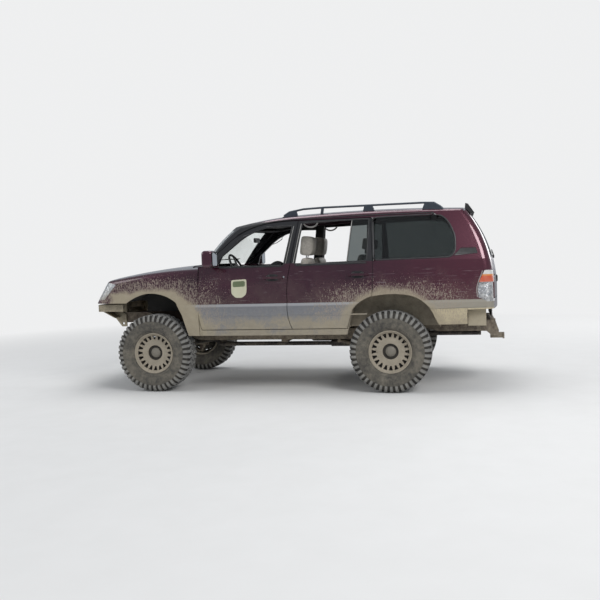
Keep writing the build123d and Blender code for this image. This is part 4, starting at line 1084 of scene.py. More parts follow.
def rounded_path(corners: Sequence[Flat], radius: float, steps: int = 5, closed: bool = True) -> list[Flat]:
    """A flat line through corners, each rounded.

    Args:
        corners: the corners in order.
        radius: how far from each corner its curve starts.
        steps: points on each curve.
        closed: whether the line is a ring.

    Returns:
        The line's points.
    """
    line: list[Flat] = []
    count = len(corners)
    for index, corner in enumerate(corners):
        here = Vector(corner)
        if not closed and index in (0, count - 1):
            line.append(tuple(here))
            continue
        before = Vector(corners[index - 1])
        after = Vector(corners[(index + 1) % count])
        reach_in = min(radius, (before - here).length * 0.45)
        reach_out = min(radius, (after - here).length * 0.45)
        start = here + (before - here).normalized() * reach_in
        end = here + (after - here).normalized() * reach_out
        for step in range(steps + 1):
            share = step / steps
            point = start * (1 - share) ** 2 + here * 2 * share * (1 - share) + end * share**2
            line.append((point.x, point.y))
    return line


def divided(line: Sequence[Flat], pitch: float, closed: bool = True) -> list[Flat]:
    """The same line with no run longer than pitch.

    Args:
        line: the line.
        pitch: the longest run.
        closed: whether it is a ring.

    Returns:
        The line's points.
    """
    result: list[Flat] = []
    count = len(line)
    for index in range(count if closed else count - 1):
        start = Vector(line[index])
        end = Vector(line[(index + 1) % count])
        parts = max(1, math.ceil((end - start).length / pitch))
        for part in range(parts):
            point = start.lerp(end, part / parts)
            result.append((point.x, point.y))
    if not closed:
        result.append(tuple(line[-1]))
    return result


def strip_rows(path: Sequence[tuple[Vector, Vector]], width: float, height: float, sink: float,
               closed: bool) -> list[list[Vector]]:
    """Rounded strip lying on a surface.

    Args:
        path: points on the surface, each with its normal.
        width: across the strip.
        height: proud of the surface.
        sink: how far its foot reaches into the surface.
        closed: whether the path is a ring.

    Returns:
        Rows of section points.
    """
    rows = []
    count = len(path)
    for index, (point, normal) in enumerate(path):
        before = path[index - 1][0] if closed or index else point
        after = path[(index + 1) % count][0] if closed or index < count - 1 else point
        along = (after - before).normalized()
        across = along.cross(normal).normalized()
        half = width / 2
        section = ((-half, -sink), (-half, height * 0.55), (-half * 0.7, height), (half * 0.7, height),
                   (half, height * 0.55), (half, -sink))
        rows.append([point + across * out + normal * up for out, up in section])
    return rows


# Sub-assemblies


@dataclass
class Studio:
    """Plain pale floor, soft lamps and the camera at the photograph's angle."""

    floor_half: float = 60.0
    lens: float = 44.0
    eye: Point = (-1.985, 9.19, 1.56)
    yaw: float = 12.4
    pitch: float = 3.3
    roll: float = -1.9
    sky: Colour = (0.86, 0.92, 1.0)
    sky_level: float = 0.40
    lamps: tuple[tuple[str, Point, Point, float, float], ...] = (
        ("lamp_key", (-6.5, 7.0, 7.5), (0, 0, 0.9), 5.0, 560.0),
        ("lamp_front", (7.5, 4.0, 4.5), (0.6, 0, 0.9), 5.0, 170.0),
        ("lamp_top", (0, -1.0, 8.0), (0, 0, 1.0), 6.0, 300.0),
        ("lamp_back", (-5.5, -8.0, 4.5), (0, 0, 1.0), 6.0, 260.0),
    )

    def build(self) -> None:
        """Make the floor, world, lamps and camera."""
        self.lay_floor()
        self.light()
        self.set_camera()

    def lay_floor(self) -> None:
        """A broad floor."""
        mesh = bpy.data.meshes.new("floor_plane")
        half = self.floor_half
        corners = [(-half, -half, 0), (half, -half, 0), (half, half, 0), (-half, half, 0)]
        mesh.from_pydata(corners, [], [(0, 1, 2, 3)])
        floor = bpy.data.objects.new("floor_plane", mesh)
        bpy.context.scene.collection.objects.link(floor)
        mesh.materials.append(PAINTS["studio_floor"])

    def light(self) -> None:
        """Soft lamps round the vehicle and a pale world."""
        world = bpy.data.worlds.new("studio")
        bpy.context.scene.world = world
        tree = Tree(world)
        camera_ray = tree.node("ShaderNodeLightPath", {}, out="Is Camera Ray")
        seen = camera_ray | tree.node("ShaderNodeLightPath", {}, out="Is Transmission Ray")
        lit = tree.node("ShaderNodeBackground", {}, self.sky, self.sky_level)
        shown = tree.node("ShaderNodeBackground", {}, BACKDROP, 1.0)
        tree.raw("ShaderNodeOutputWorld", {}, [tree.node("ShaderNodeMixShader", {}, seen, lit, shown)], {})
        for name, place, aim, size, power in self.lamps:
            lamp = bpy.data.lights.new(name, "AREA")
            lamp.shape = "DISK"
            lamp.size = size
            lamp.energy = power
            holder = bpy.data.objects.new(name, lamp)
            bpy.context.scene.collection.objects.link(holder)
            holder.location = place
            holder.rotation_euler = (Vector(aim) - Vector(place)).to_track_quat("-Z", "Y").to_euler()

    def set_camera(self) -> None:
        """Camera from the fitted angles."""
        yaw, pitch, roll = (math.radians(angle) for angle in (self.yaw, self.pitch, self.roll))
        level = math.cos(pitch)
        forward = Vector((math.sin(yaw) * level, -math.cos(yaw) * level, -math.sin(pitch)))
        right = forward.cross(Vector((0, 0, 1))).normalized()
        up = right.cross(forward)
        turned = right * math.cos(roll) + up * math.sin(roll)
        raised = up * math.cos(roll) - right * math.sin(roll)
        camera = bpy.data.cameras.new("view")
        camera.lens = self.lens
        camera.sensor_width = 36.0
        camera.clip_end = 300.0
        holder = bpy.data.objects.new("view", camera)
        bpy.context.scene.collection.objects.link(holder)
        axes = Matrix((turned, raised, -forward)).transposed()
        holder.matrix_world = Matrix.Translation(self.eye) @ axes.to_4x4()
        bpy.context.scene.camera = holder
        bpy.context.scene.view_settings.view_transform = "Standard"


@dataclass
class CarriedNodes:
    """Finishes for the frame's own nodes that stay in sight."""

    finishes: dict[str, tuple[str, ...]] = field(default_factory=lambda: {
        "plum_paint": ("body_side_left", "body_side_right", "fender_left", "fender_right", "roof_panel",
                       "hood", "gate_upper", "gate_lower", "front_cover"),
        "door_paint": ("door_front_left", "door_front_right", "door_rear_left", "door_rear_right"),
        "bar_muddy": ("front_bar", "front_carrier"),
        "trim_black": ("grille", "cowl", "spoiler"),
        "rail_satin": ("roof_rails",),
        "steel_muddy": ("chassis_rails", "crossmembers", "rear_axle", "rear_links", "front_arms", "hitch"),
        "steel_dark": ("driveline", "exhaust", "fuel_tank", "steering_rack", "front_drive"),
        "spring_dark": ("front_springs",),
        "cast_iron": ("engine", "knuckle_left", "knuckle_right"),
        "liner_dark": ("front_wheelhouses",),
        "liner_tan": ("rear_wheelhouses",),
        "cab_floor": ("floor",),
        "dash_grey": ("dashboard",),
        "wheel_grip": ("steering_wheel",),
        "glass_clear": ("windscreen",),
        "glass_dark": ("quarter_glass", "door_light_left", "door_light_right"),
        "glass_gate": ("gate_glass",),
        "tail_lens": ("tail_lamps",),
        "head_lens": ("headlamps",),
        "rim_steel": ("rim_front_left", "rim_front_right", "rim_rear_left", "rim_rear_right"),
        "seat_hide": ("front_seats", "rear_seat"),
        "tyre_rubber": ("tyre_front_left", "tyre_front_right", "tyre_rear_left", "tyre_rear_right"),
    })

    def build(self) -> None:
        """Give each node its finish."""
        for finish, nodes in self.finishes.items():
            for name in nodes:
                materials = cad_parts[name].data.materials
                materials.clear()
                materials.append(PAINTS[finish])


@dataclass
class Tyres:
    """Chunky all-terrain tyres that replace the plain ones."""

    radius: float = 0.4655
    carcass_radius: float = 0.4510
    steps: int = 172
    profile: tuple[Flat, ...] = (
        (-0.104, 0.2320), (-0.112, 0.2300), (-0.1145, 0.2460), (-0.124, 0.2530), (-0.139, 0.2690),
        (-0.1480, 0.2960), (-0.1530, 0.3260), (-0.1550, 0.3560), (-0.1540, 0.3840), (-0.1490, 0.4080),
        (-0.1380, 0.4300), (-0.1240, 0.4430), (-0.1040, 0.4490), (-0.0600, 0.4506), (0.0, 0.4510),
    )
    hollow: tuple[Flat, ...] = ((0.100, 0.2440), (0.136, 0.3020), (0.136, 0.3800), (0.100, 0.4330))
    ribs: tuple[Flat, ...] = ((0.1437, 0.2785), (0.1525, 0.3940))
    block_height: float = 0.0145
    block_rows: tuple[tuple[float, float, tuple[Flat, ...]], ...] = (
        (-0.024, 0.0, ((-0.029, -0.020), (0.004, -0.026), (0.012, -0.004), (0.031, 0.003), (0.026, 0.020),
                       (-0.004, 0.018), (-0.012, 0.006), (-0.031, 0.001))),
        (0.024, 0.5, ((-0.029, -0.018), (-0.006, -0.020), (0.004, -0.004), (0.031, -0.002), (0.029, 0.020),
                      (0.000, 0.026), (-0.012, 0.008), (-0.031, 0.004))),
        (-0.070, 0.42, ((-0.028, -0.020), (0.018, -0.022), (0.029, -0.004), (0.026, 0.018), (-0.016, 0.021),
                        (-0.030, 0.004))),
        (0.070, 0.92, ((-0.028, -0.018), (0.016, -0.021), (0.030, -0.004), (0.028, 0.020), (-0.018, 0.022),
                       (-0.029, 0.004))),
    )
    lug_phases: tuple[tuple[int, float], ...] = ((-1, 0.65), (1, 0.15))
    lug_half: float = 0.0168
    lug_feet: Flat = (0.386, 0.398)

    def build(self) -> None:
        """One mesh for each wheel, from one set of points."""
        for axle, side, centre in each_wheel():
            work = Builder()
            self.carcass(work, centre)
            self.tread(work, centre, side.value)
            wheel = f"wheel_{axle}_{side.word}"
            tyre = work.piece(f"tread_tyre_{axle}_{side.word}", "tyre_rubber", wheel, smooth=38)
            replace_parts(tyre, f"tyre_{axle}_{side.word}")

    def carcass(self, work: Builder, centre: Point) -> None:
        """The tyre's body with two ribs round each side wall.

        Args:
            work: where to add it.
            centre: the wheel's middle.
        """
        half = list(self.profile)
        whole = half + [(-across, radius) for across, radius in reversed(half[:-1])]
        inner = [(across, radius) for across, radius in self.hollow]
        inner += [(-across, radius) for across, radius in reversed(self.hollow)]
        ring = whole + inner
        work.spun(ring + [ring[0]], centre, self.steps)
        for side in (-1, 1):
            for out, radius in self.ribs:
                rib = [(side * (out - 0.004), radius - 0.007), (side * (out + 0.0022), radius - 0.003),
                       (side * (out + 0.0022), radius + 0.003), (side * (out - 0.004), radius + 0.007)]
                work.spun(rib, centre, self.steps)

    def surface_point(self, centre: Point, turn: float, across: float, lift: float) -> Point:
        """Point over the tread at an angle round the wheel and a distance across it.

        Args:
            centre: the wheel's middle.
            turn: the angle round it.
            across: the distance across the tread.
            lift: height over the tread.

        Returns:
            The point.
        """
        edge = max(0.0, abs(across) - 0.108)
        radius = self.carcass_radius - 0.0008 - 0.0016 * (across / 0.1) ** 2 - edge * 0.72 + lift
        return (centre[0] + radius * math.cos(turn), centre[1] + across, centre[2] + radius * math.sin(turn))

    def block(self, work: Builder, centre: Point, turn: float, corners: Sequence[Flat], spin: float) -> None:
        """One tread block.

        Args:
            work: where to add it.
            centre: the wheel's middle.
            turn: the angle of the block's middle.
            corners: its outline as distances round and across, in metres.
            spin: the direction of the pattern.
        """
        rings = []
        middle = mean_point(corners)
        for lift, shrink in ((-0.004, 1.03), (self.block_height * 0.82, 0.97), (self.block_height, 0.90)):
            ring = [middle.lerp(Vector(corner), shrink) for corner in corners]
            rings.append([self.surface_point(centre, turn + spin * u / self.radius, v, lift)
                          for u, v in ring])
        work.grid(rings, close_rows=True)
        work.close_last(len(corners))

    def tread(self, work: Builder, centre: Point, side: float) -> None:
        """Blocks in five rows, and lugs that run down on to the side walls.

        Args:
            work: where to add it.
            centre: the wheel's middle.
            side: the direction of the pattern.
        """
        pitch = 2 * math.pi / TYRE_PITCHES
        for index in range(TYRE_PITCHES):
            for across, phase, corners in self.block_rows:
                outline = [(u, v + across) for u, v in corners]
                self.block(work, centre, (index + phase) * pitch, outline, side)
            for edge, phase in self.lug_phases:
                self.shoulder(work, centre, (index + phase) * pitch, edge, side, self.lug_feet[index % 2])

    def shoulder(self, work: Builder, centre: Point, turn: float, edge: int, spin: float,
                 foot: float) -> None:
        """Lug over the tread's edge and down the side wall.

        Args:
            work: where to add it.
            centre: the wheel's middle.
            turn: the angle of the lug's middle.
            edge: -1 or 1, for the tread's right or left edge.
            spin: the direction of the pattern.
            foot: the radius that the lug reaches down to.
        """
        section = [(0.098, 0.4640), (0.113, 0.4635), (0.1290, 0.4560), (0.1430, 0.4420), (0.1530, 0.4210),
                   (0.1570, foot + 0.006), (0.1560, foot)]
        base = [(0.098, 0.4460), (0.112, 0.4440), (0.1240, 0.4390), (0.1340, 0.4280), (0.1420, 0.4120),
                (0.1500, foot), (0.1500, foot - 0.004)]
        rows = []
        for (top_y, top_r), (low_y, low_r) in zip(section, base):
            half = self.lug_half * (1.0 if top_r > 0.44 else 0.86)
            row = []
            for offset, across, radius in ((-self.lug_half - 0.002, low_y, low_r), (-half, top_y, top_r),
                                           (half, top_y, top_r), (self.lug_half + 0.002, low_y, low_r)):
                angle = turn + spin * (offset + (top_y - 0.1) * 0.12 * edge) / self.radius
                row.append((centre[0] + radius * math.cos(angle), centre[1] + edge * across,
                            centre[2] + radius * math.sin(angle)))
            rows.append(row)
        work.grid(rows, caps=True)


@dataclass
class WheelFittings:
    """A dark brake disc and a valve for each wheel."""

    disc: tuple[Flat, ...] = ((0.040, 0.108), (0.045, 0.108), (0.045, 0.150), (0.047, 0.152), (0.047, 0.190),
                              (0.040, 0.190), (0.040, 0.108))
    valve_radius: float = 0.204

    def build(self) -> None:
        """Dress the four wheels."""
        for axle, side, centre in each_wheel():
            wheel = f"wheel_{axle}_{side.word}"
            disc = Builder()
            disc.spun(self.disc, centre, 48, side.value)
            disc.piece(f"brake_disc_{axle}_{side.word}", "liner_dark", wheel, smooth=30)
            out = Vector((0, side.value, 0))
            start = (centre[0] + self.valve_radius, side.value * 1.4, AXLE_Z)
            found = skin_of(f"rim_{axle}_{side.word}").hit(start, -out)
            if found:
                foot = found[0]
                tip = foot + out * 0.022
                valve = Builder()
                valve.tube([foot - out * 0.004, foot.lerp(tip, 0.4), tip], 0.0045, 10)
                valve.piece(f"valve_{axle}_{side.word}", "trim_black", wheel, bevel=0.0008)


@dataclass
class Cushions:
    """Hide-covered seats that replace the plain ones."""

    seat_y: float = 0.395
    bench_places: tuple[Flat, ...] = ((-0.62, -0.215), (-0.205, 0.205), (0.215, 0.62))
    bench_head_places: tuple[float, float, float] = (-0.4, 0, 0.4)
    cells: int = 22
    floor_z: float = 0.767

    def build(self) -> None:
        """Front pair, then the bench."""
        for side in Side:
            self.front_seat(side)
        self.bench()

    def pad(self, name: str, centre: Point, size: Point, lean: float, channels: int,
            crown: float = 0.018, bolsters: float = 0.0) -> bpy.types.Object:
        """One crowned pad with sewn channels.

        Args:
            name: the piece's name.
            centre: its middle.
            size: its length, width and thickness.
            lean: degrees that its length axis is turned up about y.
            channels: seams across it.
            crown: how far its face swells.
            bolsters: how far its long sides stand proud.

        Returns:
            The pad.
        """
        length, width, thick = size
        top: list[list[Vector]] = []
        low: list[list[Vector]] = []
        steps = [step / self.cells * 2 - 1 for step in range(self.cells + 1)]
        for s in steps:
            over: list[Vector] = []
            under: list[Vector] = []
            for t in steps:
                pull = 1 - 0.035 * (abs(s) ** 4) - 0.02 * (1 - abs(t) ** 2)
                dome = (1 - s**6) * (1 - t**6)
                swell = crown * (1 - s * s) * (1 - t * t)
                bolster = bolsters * max(0.0, (abs(t) - 0.55) / 0.45) ** 1.2 * (1 - s**4)
                seam = 0.0
                if channels and abs(t) < 0.56 and abs(s) < 0.86:
                    wave = abs(math.sin(math.pi * channels * (s + 1) / 2))
                    seam = -0.010 * (1 - min(1.0, wave * 2.2)) ** 1.5
                edge_seam = -0.009 * math.exp(-((abs(t) - 0.58) / 0.035) ** 2) * (abs(s) < 0.9)
                height = thick / 2 * (0.35 + 0.65 * dome ** 0.35) + swell + bolster + seam + edge_seam
                x = s * length / 2 * (1 - 0.02 * t * t)
                y = t * width / 2 * pull
                over.append(Vector((x, y, height)))
                under.append(Vector((x, y, -thick / 2 * (0.5 + 0.5 * dome ** 0.35))))
            top.append(over)
            low.append(under)
        work = Builder()
        work.grid(top)
        work.grid(low)
        rims = [rows[0] + [row[-1] for row in rows[1:-1]] + rows[-1][::-1] + [row[0] for row in rows[-2:0:-1]]
                for rows in (top, low)]
        work.grid(rims, close_rows=True)
        turn = Matrix.Rotation(math.radians(-lean), 4, "Y")
        work.points = [tuple(Vector(centre) + turn @ Vector(point)) for point in work.points]
        thing = work.piece(name, "seat_hide", "vehicle", smooth=60, subdivide=1)
        return thing

    def front_seat(self, side: Side) -> None:
        """Base, back and head pads of one front seat, with their posts and plinth.

        Args:
            side: which side.
        """
        middle_y = side.value * self.seat_y
        word = side.word
        base = self.pad(f"seat_base_{word}", (0.125, middle_y, 1.045), (0.50, 0.485, 0.115), 4, 4,
                        bolsters=0.022)
        back = self.pad(f"seat_back_{word}", (-0.125, middle_y, 1.315), (0.49, 0.485, 0.095), 101.5, 5,
                        crown=0.012, bolsters=0.026)
        head = self.pad(f"head_rest_{word}", (-0.175, middle_y, 1.700), (0.235, 0.285, 0.150), 97, 0,
                        crown=0.014)
        plinth = Builder()
        plinth.box((-0.11, middle_y - 0.19, self.floor_z), (0.35, middle_y + 0.19, 0.975))
        for y in (middle_y - 0.05, middle_y + 0.05):
            plinth.tube([Vector((-0.155, y, 1.54)), Vector((-0.172, y, 1.655))], 0.006)
        stand = plinth.piece(f"seat_stand_{word}", "dash_grey", "vehicle", bevel=0.004)
        if side is Side.LEFT:
            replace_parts(base, "front_seats")

    def bench(self) -> None:
        """Bench pads with three head pads."""
        things = []
        for index, (low_y, high_y) in enumerate(self.bench_places):
            middle, width = (low_y + high_y) / 2, high_y - low_y
            things += [
                self.pad(f"bench_base_{index}", (-0.495, middle, 1.078), (0.42, width, 0.085), 4, 3),
                self.pad(f"bench_back_{index}", (-0.80, middle, 1.345), (0.47, width, 0.085), 103, 4,
                         crown=0.010),
                self.pad(f"bench_head_{index}", (-0.888, self.bench_head_places[index], 1.698),
                         (0.135, 0.225, 0.075), 98, 0, crown=0.010),
            ]
        stand = Builder()
        stand.box((-0.70, -0.60, self.floor_z), (-0.31, 0.60, 1.03))
        for y in self.bench_head_places:
            for shift in (-0.045, 0.045):
                stand.tube([Vector((-0.875, y + shift, 1.58)), Vector((-0.885, y + shift, 1.66))], 0.006)
        things.append(stand.piece("bench_stand", "dash_grey", "vehicle", bevel=0.004))
        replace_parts(things[0], "rear_seat")


@dataclass(frozen=True)
class Strip:
    """A strip that lies on the flank along a line of x and z."""

    name: str
    door: Optional[str]
    line: tuple[Flat, ...]
    finish: str
    width: float
    height: float
    closed: bool = False
    grow: float = 0.0
    bend: float = 0.02
    also: tuple[str, ...] = ()


@dataclass
class Flanks:
    """Strips, seals, vents, stickers and mirror faces of the two sides."""

    front_window: tuple[Flat, ...] = ((0.021, 1.484), (-0.062, 1.931), (0.14, 1.934), (0.38, 1.880),
                                      (0.600, 1.745), (0.775, 1.600), (0.818, 1.484))
    rear_window: tuple[Flat, ...] = ((-0.123, 1.486), (-0.194, 1.958), (-0.770, 1.972), (-0.720, 1.494))
    rear_light: tuple[Flat, ...] = ((-0.728, 1.495), (-0.777, 1.972), (-0.966, 1.972), (-0.946, 1.510))
    quarter: tuple[Flat, ...] = ((-1.038, 1.510), (-1.022, 1.988), (-1.640, 1.992), (-1.790, 1.976),
                                 (-1.862, 1.895), (-1.920, 1.760), (-1.928, 1.650), (-1.918, 1.575),
                                 (-1.876, 1.524))
    drip_line: tuple[Flat, ...] = ((0.600, 1.855), (0.455, 1.930), (0.21, 1.992), (-0.10, 2.010),
                                   (-0.9, 2.022), (-1.70, 2.024))
    handle_places: tuple[tuple[str, float, float, Optional[float]], ...] = (
        ("front", 0.150, 1.339, 0.012), ("rear", -0.848, 1.349, None))
    handle_steps: int = 28
    cup_deepest_y: float = 0.9625
    mirror_x: float = 0.7955
    mirror_y: float = 1.085
    mirror_z: float = 1.575

    def build(self) -> None:
        """Dress both sides."""
        for side in Side:
            for strip in self.window_strips():
                self.lay(strip, side)
            self.vent(side)
            self.mirror(side)
            for strip in self.long_strips():
                self.lay(strip, side)
            self.handle_cups(side)
        self.sticker()

    def window_strips(self) -> tuple[Strip, ...]:
        """Rubber round each window, and thin pale edges beside the doors' middle frame.

        Returns:
            The strips in the order that they are laid.
        """
        black, pale = "trim_black", "seal_pale"
        return (
            Strip("seal_front", "front", self.front_window, black, 0.010, 0.003, True, 0.010),
            Strip("seal_rear", "rear", self.rear_window, black, 0.010, 0.003, True, 0.009),
            Strip("seal_light", "rear", self.rear_light, black, 0.010, 0.003, True, 0.009),
            Strip("seal_quarter", None, self.quarter, black, 0.016, 0.004, True, 0.012, 0.05),
            Strip("belt_front", "front", ((0.04, 1.472), (0.80, 1.472)), black, 0.018, 0.006),
            Strip("belt_rear", "rear", ((-0.945, 1.480), (-0.13, 1.473)), black, 0.018, 0.006),
            Strip("edge_front", "front", ((-0.010, 1.50), (-0.089, 1.93)), pale, 0.005, 0.003),
            Strip("edge_rear", "rear", ((-0.100, 1.50), (-0.178, 1.955)), pale, 0.006, 0.004),
            Strip("bar_rear", "rear", ((-0.724, 1.50), (-0.7735, 1.965)), pale, 0.006, 0.004),
            Strip("edge_quarter", None, ((-1.030, 1.50), (-1.012, 1.985)), pale, 0.005, 0.0035),
        )

    def long_strips(self) -> tuple[Strip, ...]:
        """Ridges along the lower panels' step, and the drip rail over the doors.

        Returns:
            The strips in the order that they are laid.
        """
        return (
            Strip("ridge_door_front", "front", ((1.055, 0.9), (-0.010, 0.9)), "plum_paint", 0.014, 0.003),
            Strip("ridge_door_rear", "rear", ((-0.042, 0.9), (-0.945, 0.9)), "plum_paint", 0.014, 0.003),
            Strip("drip", None, self.drip_line, "trim_black", 0.012, 0.007, bend=0.2, also=("roof_panel",)),
        )

    def lay(self, strip: Strip, side: Side) -> None:
        """Lay a strip on one flank.

        Args:
            strip: the strip.
            side: which flank.
        """
        node = f"door_{strip.door}_{side.word}" if strip.door else f"body_side_{side.word}"
        skin = skin_of(node, *strip.also)
        middle = mean_point(strip.line)
        line = []
        for corner in strip.line:
            out = (Vector(corner) - middle).normalized() * strip.grow
            line.append((corner[0] + out.x, corner[1] + out.y))
        flat = divided(rounded_path(line, strip.bend, 4, strip.closed), 0.05, strip.closed)
        path = [skin.side(x, z, side) for x, z in flat]
        rows = strip_rows(path, strip.width, strip.height, 0.003, strip.closed)
        work = Builder()
        work.grid(rows, close_rows=True, close_columns=strip.closed, caps=not strip.closed)
        body = node if strip.door else "vehicle"
        work.piece(f"{strip.name}_{side.word}", strip.finish, body, smooth=50)

    def handle_cups(self, side: Side) -> None:
        """Black sheet in the hollow behind each pull handle, as painted shade there, with a pale lock beside
        it.

        Args:
            side: which side.
        """
        for end, x, z, lock_x in self.handle_places:
            door = f"door_{end}_{side.word}"
            skin = skin_of(door)
            work = Builder()
            rings = []
            for share, lift in ((1.0, -0.0008), (1.0, 0.0012), (0.9, 0.0005), (0.45, 0.0004)):
                ring = []
                for turn in turns(self.handle_steps):
                    across, up = (abs(part) ** 0.7 * math.copysign(share, part)
                                  for part in (math.cos(turn), math.sin(turn)))
                    point, normal = skin.side(x + 0.074 * across, z + 0.040 * up, side)
                    deep = side.value * min(abs(point.y), self.cup_deepest_y)
                    ring.append(Vector((point.x, deep, point.z)) + normal * lift)
                rings.append(ring)
            work.grid(rings, close_rows=True)
            work.close_last(self.handle_steps)
            # the black cup is painted shade standing in for the shadow in the handle's hollow
            work.piece(f"handle_cup_{end}_{side.word}", "trim_black", door, smooth=50)
            if lock_x is not None:
                point, normal = skin.side(lock_x, z + 0.004, side)
                lock = Builder()
                lock.tube([point + normal * lift for lift in (-0.002, 0.0035, 0.0045)], 0.011, 20)
                lock.piece(f"lock_{side.word}", "bright_metal", door, smooth=40)

    def vent(self, side: Side) -> None:
        """Slatted air outlet in the rear pillar.

        Args:
            side: which side.
        """
        wall = skin_of(f"body_side_{side.word}")
        outline = ((-1.997, 1.612), (-2.155, 1.611), (-2.177, 1.547), (-1.913, 1.527))
        work = Builder()
        line = rounded_path(outline, 0.012, 3)
        path = [wall.side(x, z, side) for x, z in line]
        rows = []
        middle = mean_point([point for point, _ in path])
        for lift, share in ((-0.003, 1.0), (0.003, 1.0), (0.005, 0.965), (0.0015, 0.93)):
            rows.append([middle.lerp(point, share) + normal * lift for point, normal in path])
        work.grid(rows, close_rows=True)
        work.close_last(len(path))
        for index in range(4):
            z = 1.600 - index * 0.0165
            start_x = -2.004 + index * 0.024
            end_x = -2.146 - index * 0.005
            points = [wall.side(start_x + (end_x - start_x) * step / 6, z, side) for step in range(7)]
            work.grid(strip_rows(points, 0.0075, 0.006, -0.0005, False), close_rows=True, caps=True)
        work.piece(f"vent_{side.word}", "trim_black", "vehicle", smooth=35)

    def mirror(self, side: Side) -> None:
        """Silvered face of the door mirror with its black surround.

        Args:
            side: which side.
        """
        outline = rounded_path(((-0.082, 0.083), (-0.086, -0.080), (0.082, -0.082), (0.086, 0.080)), 0.03, 5)
        surround, face = Builder(), Builder()
        outer, front, inner, rim = (
            [(self.mirror_x + shift, side.value * self.mirror_y + u * share, self.mirror_z + v * share)
             for u, v in outline]
            for shift, share in ((0.001, 1.02), (-0.004, 1.0), (-0.004, 0.93), (-0.0025, 0.93)))
        surround.grid([outer, front, inner], close_rows=True)
        face.grid([inner, rim], close_rows=True)
        face.add(rim, [tuple(range(len(rim)))])
        surround.piece(f"mirror_rim_{side.word}", "trim_black", f"door_front_{side.word}", smooth=50)
        face.piece(f"mirror_face_{side.word}", "mirror_face", f"door_front_{side.word}", smooth=20)

    def sticker(self) -> None:
        """Blank shield on the left front door."""
        skin = skin_of("door_front_left")
        outer = ((0.648, 1.322), (0.462, 1.330), (0.460, 1.205), (0.470, 1.150), (0.520, 1.113),
                 (0.600, 1.116), (0.648, 1.165))
        inner = ((0.630, 1.305), (0.480, 1.310), (0.479, 1.245), (0.631, 1.240))
        for name, corners, finish, lift in (("door_shield", outer, "sticker_cream", 0.0008),
                                            ("door_shield_field", inner, "sticker_green", 0.0014)):
            line = divided(rounded_path(corners, 0.022, 4), 0.02)
            path = [skin.side(x, z, Side.LEFT) for x, z in line]
            rows = [[point + normal * height for point, normal in path] for height in (-0.0005, lift)]
            middle = mean_point(line)
            for share in (0.66, 0.33):
                inward = [skin.side(*middle.lerp(Vector(corner), share), Side.LEFT) for corner in line]
                rows.append([point + normal * lift for point, normal in inward])
            work = Builder()
            work.grid(rows, close_rows=True)
            work.close_last(len(path))
            work.piece(name, finish, "door_front_left", smooth=60)


@dataclass
class FrontEnd:
    """Wipers, lamp rims and bolts on the bar."""

    wiper_spans: tuple[Flat, ...] = ((0.46, -0.12), (-0.12, -0.66))
    lamp_face: tuple[Flat, ...] = ((0.50, 1.150), (0.50, 1.285), (0.86, 1.285), (0.86, 1.150))
    bolt_x: float = 2.44
    bolt_places: Flat = (0.32, 0.55)

    def build(self) -> None:
        """Dress the nose and screen."""
        self.wipers()
        self.lamp_details()
        self.bar_details()

    def wipers(self) -> None:
        """Two arms with blades resting on the screen."""
        skin = skin_of("windscreen")
        for index, (pivot_y, tip_y) in enumerate(self.wiper_spans):
            line = []
            for step in range(9):
                share = step / 8
                y = pivot_y + (tip_y - pivot_y) * share
                x_guess = 1.28 - 0.10 * math.sin(math.pi * share * 0.5)
                found = skin.hit((x_guess, y, 2.5), (0, 0, -1)) or skin.hit((2.0, y, 1.56), (-1, 0, 0))
                if found:
                    line.append(found[0] + found[1] * 0.016)
            work = Builder()
            work.tube(line, 0.006, 8, flat=0.8)
            work.tube([point - Vector((0.02, 0, -0.006)) for point in line[3:]], 0.0045, 6)
            work.piece(f"wiper_{index}", "trim_black", "vehicle", smooth=50)

    def lamp_details(self) -> None:
        """Bright rim round each head lamp face."""
        skin = skin_of("headlamps")
        for side in Side:
            line = divided(rounded_path(self.lamp_face, 0.03, 4), 0.03)
            found = (skin.front(side.value * y, z) for y, z in line)
            path = [hit for hit in found if hit]
            work = Builder()
            work.grid(strip_rows(path, 0.007, 0.002, 0.002, True), close_rows=True, close_columns=True)
            work.piece(f"lamp_rim_{side.word}", "bright_metal", "vehicle", smooth=50)

    def bar_details(self) -> None:
        """Bolts on top of the front bar."""
        skin = skin_of("front_bar")
        for side in Side:
            work = Builder()
            for y in self.bolt_places:
                found = skin.top(self.bolt_x, side.value * y)
                if found:
                    self.bolt(work, found[0], Vector((0, 0, 1)), 0.011)
            work.piece(f"bar_bolts_{side.word}", "bright_metal", "vehicle", smooth=30)

    def bolt(self, work: Builder, foot: Vector, out: Vector, radius: float) -> None:
        """Hexagon head standing on a surface.

        Args:
            work: where to add it.
            foot: the point that it stands on.
            out: which way it stands.
            radius: its half width.
        """
        guide = Vector((0, 0, 1)) if abs(out.z) < 0.8 else Vector((1, 0, 0))
        across = out.cross(guide).normalized()
        up = out.cross(across)
        rows = []
        for lift, share in ((-0.002, 1.0), (radius * 0.55, 1.0), (radius * 0.68, 0.85)):
            rows.append([foot + out * lift + across * radius * share * math.cos(turn)
                         + up * radius * share * math.sin(turn) for turn in turns(6)])
        work.grid(rows, close_rows=True, caps=True)


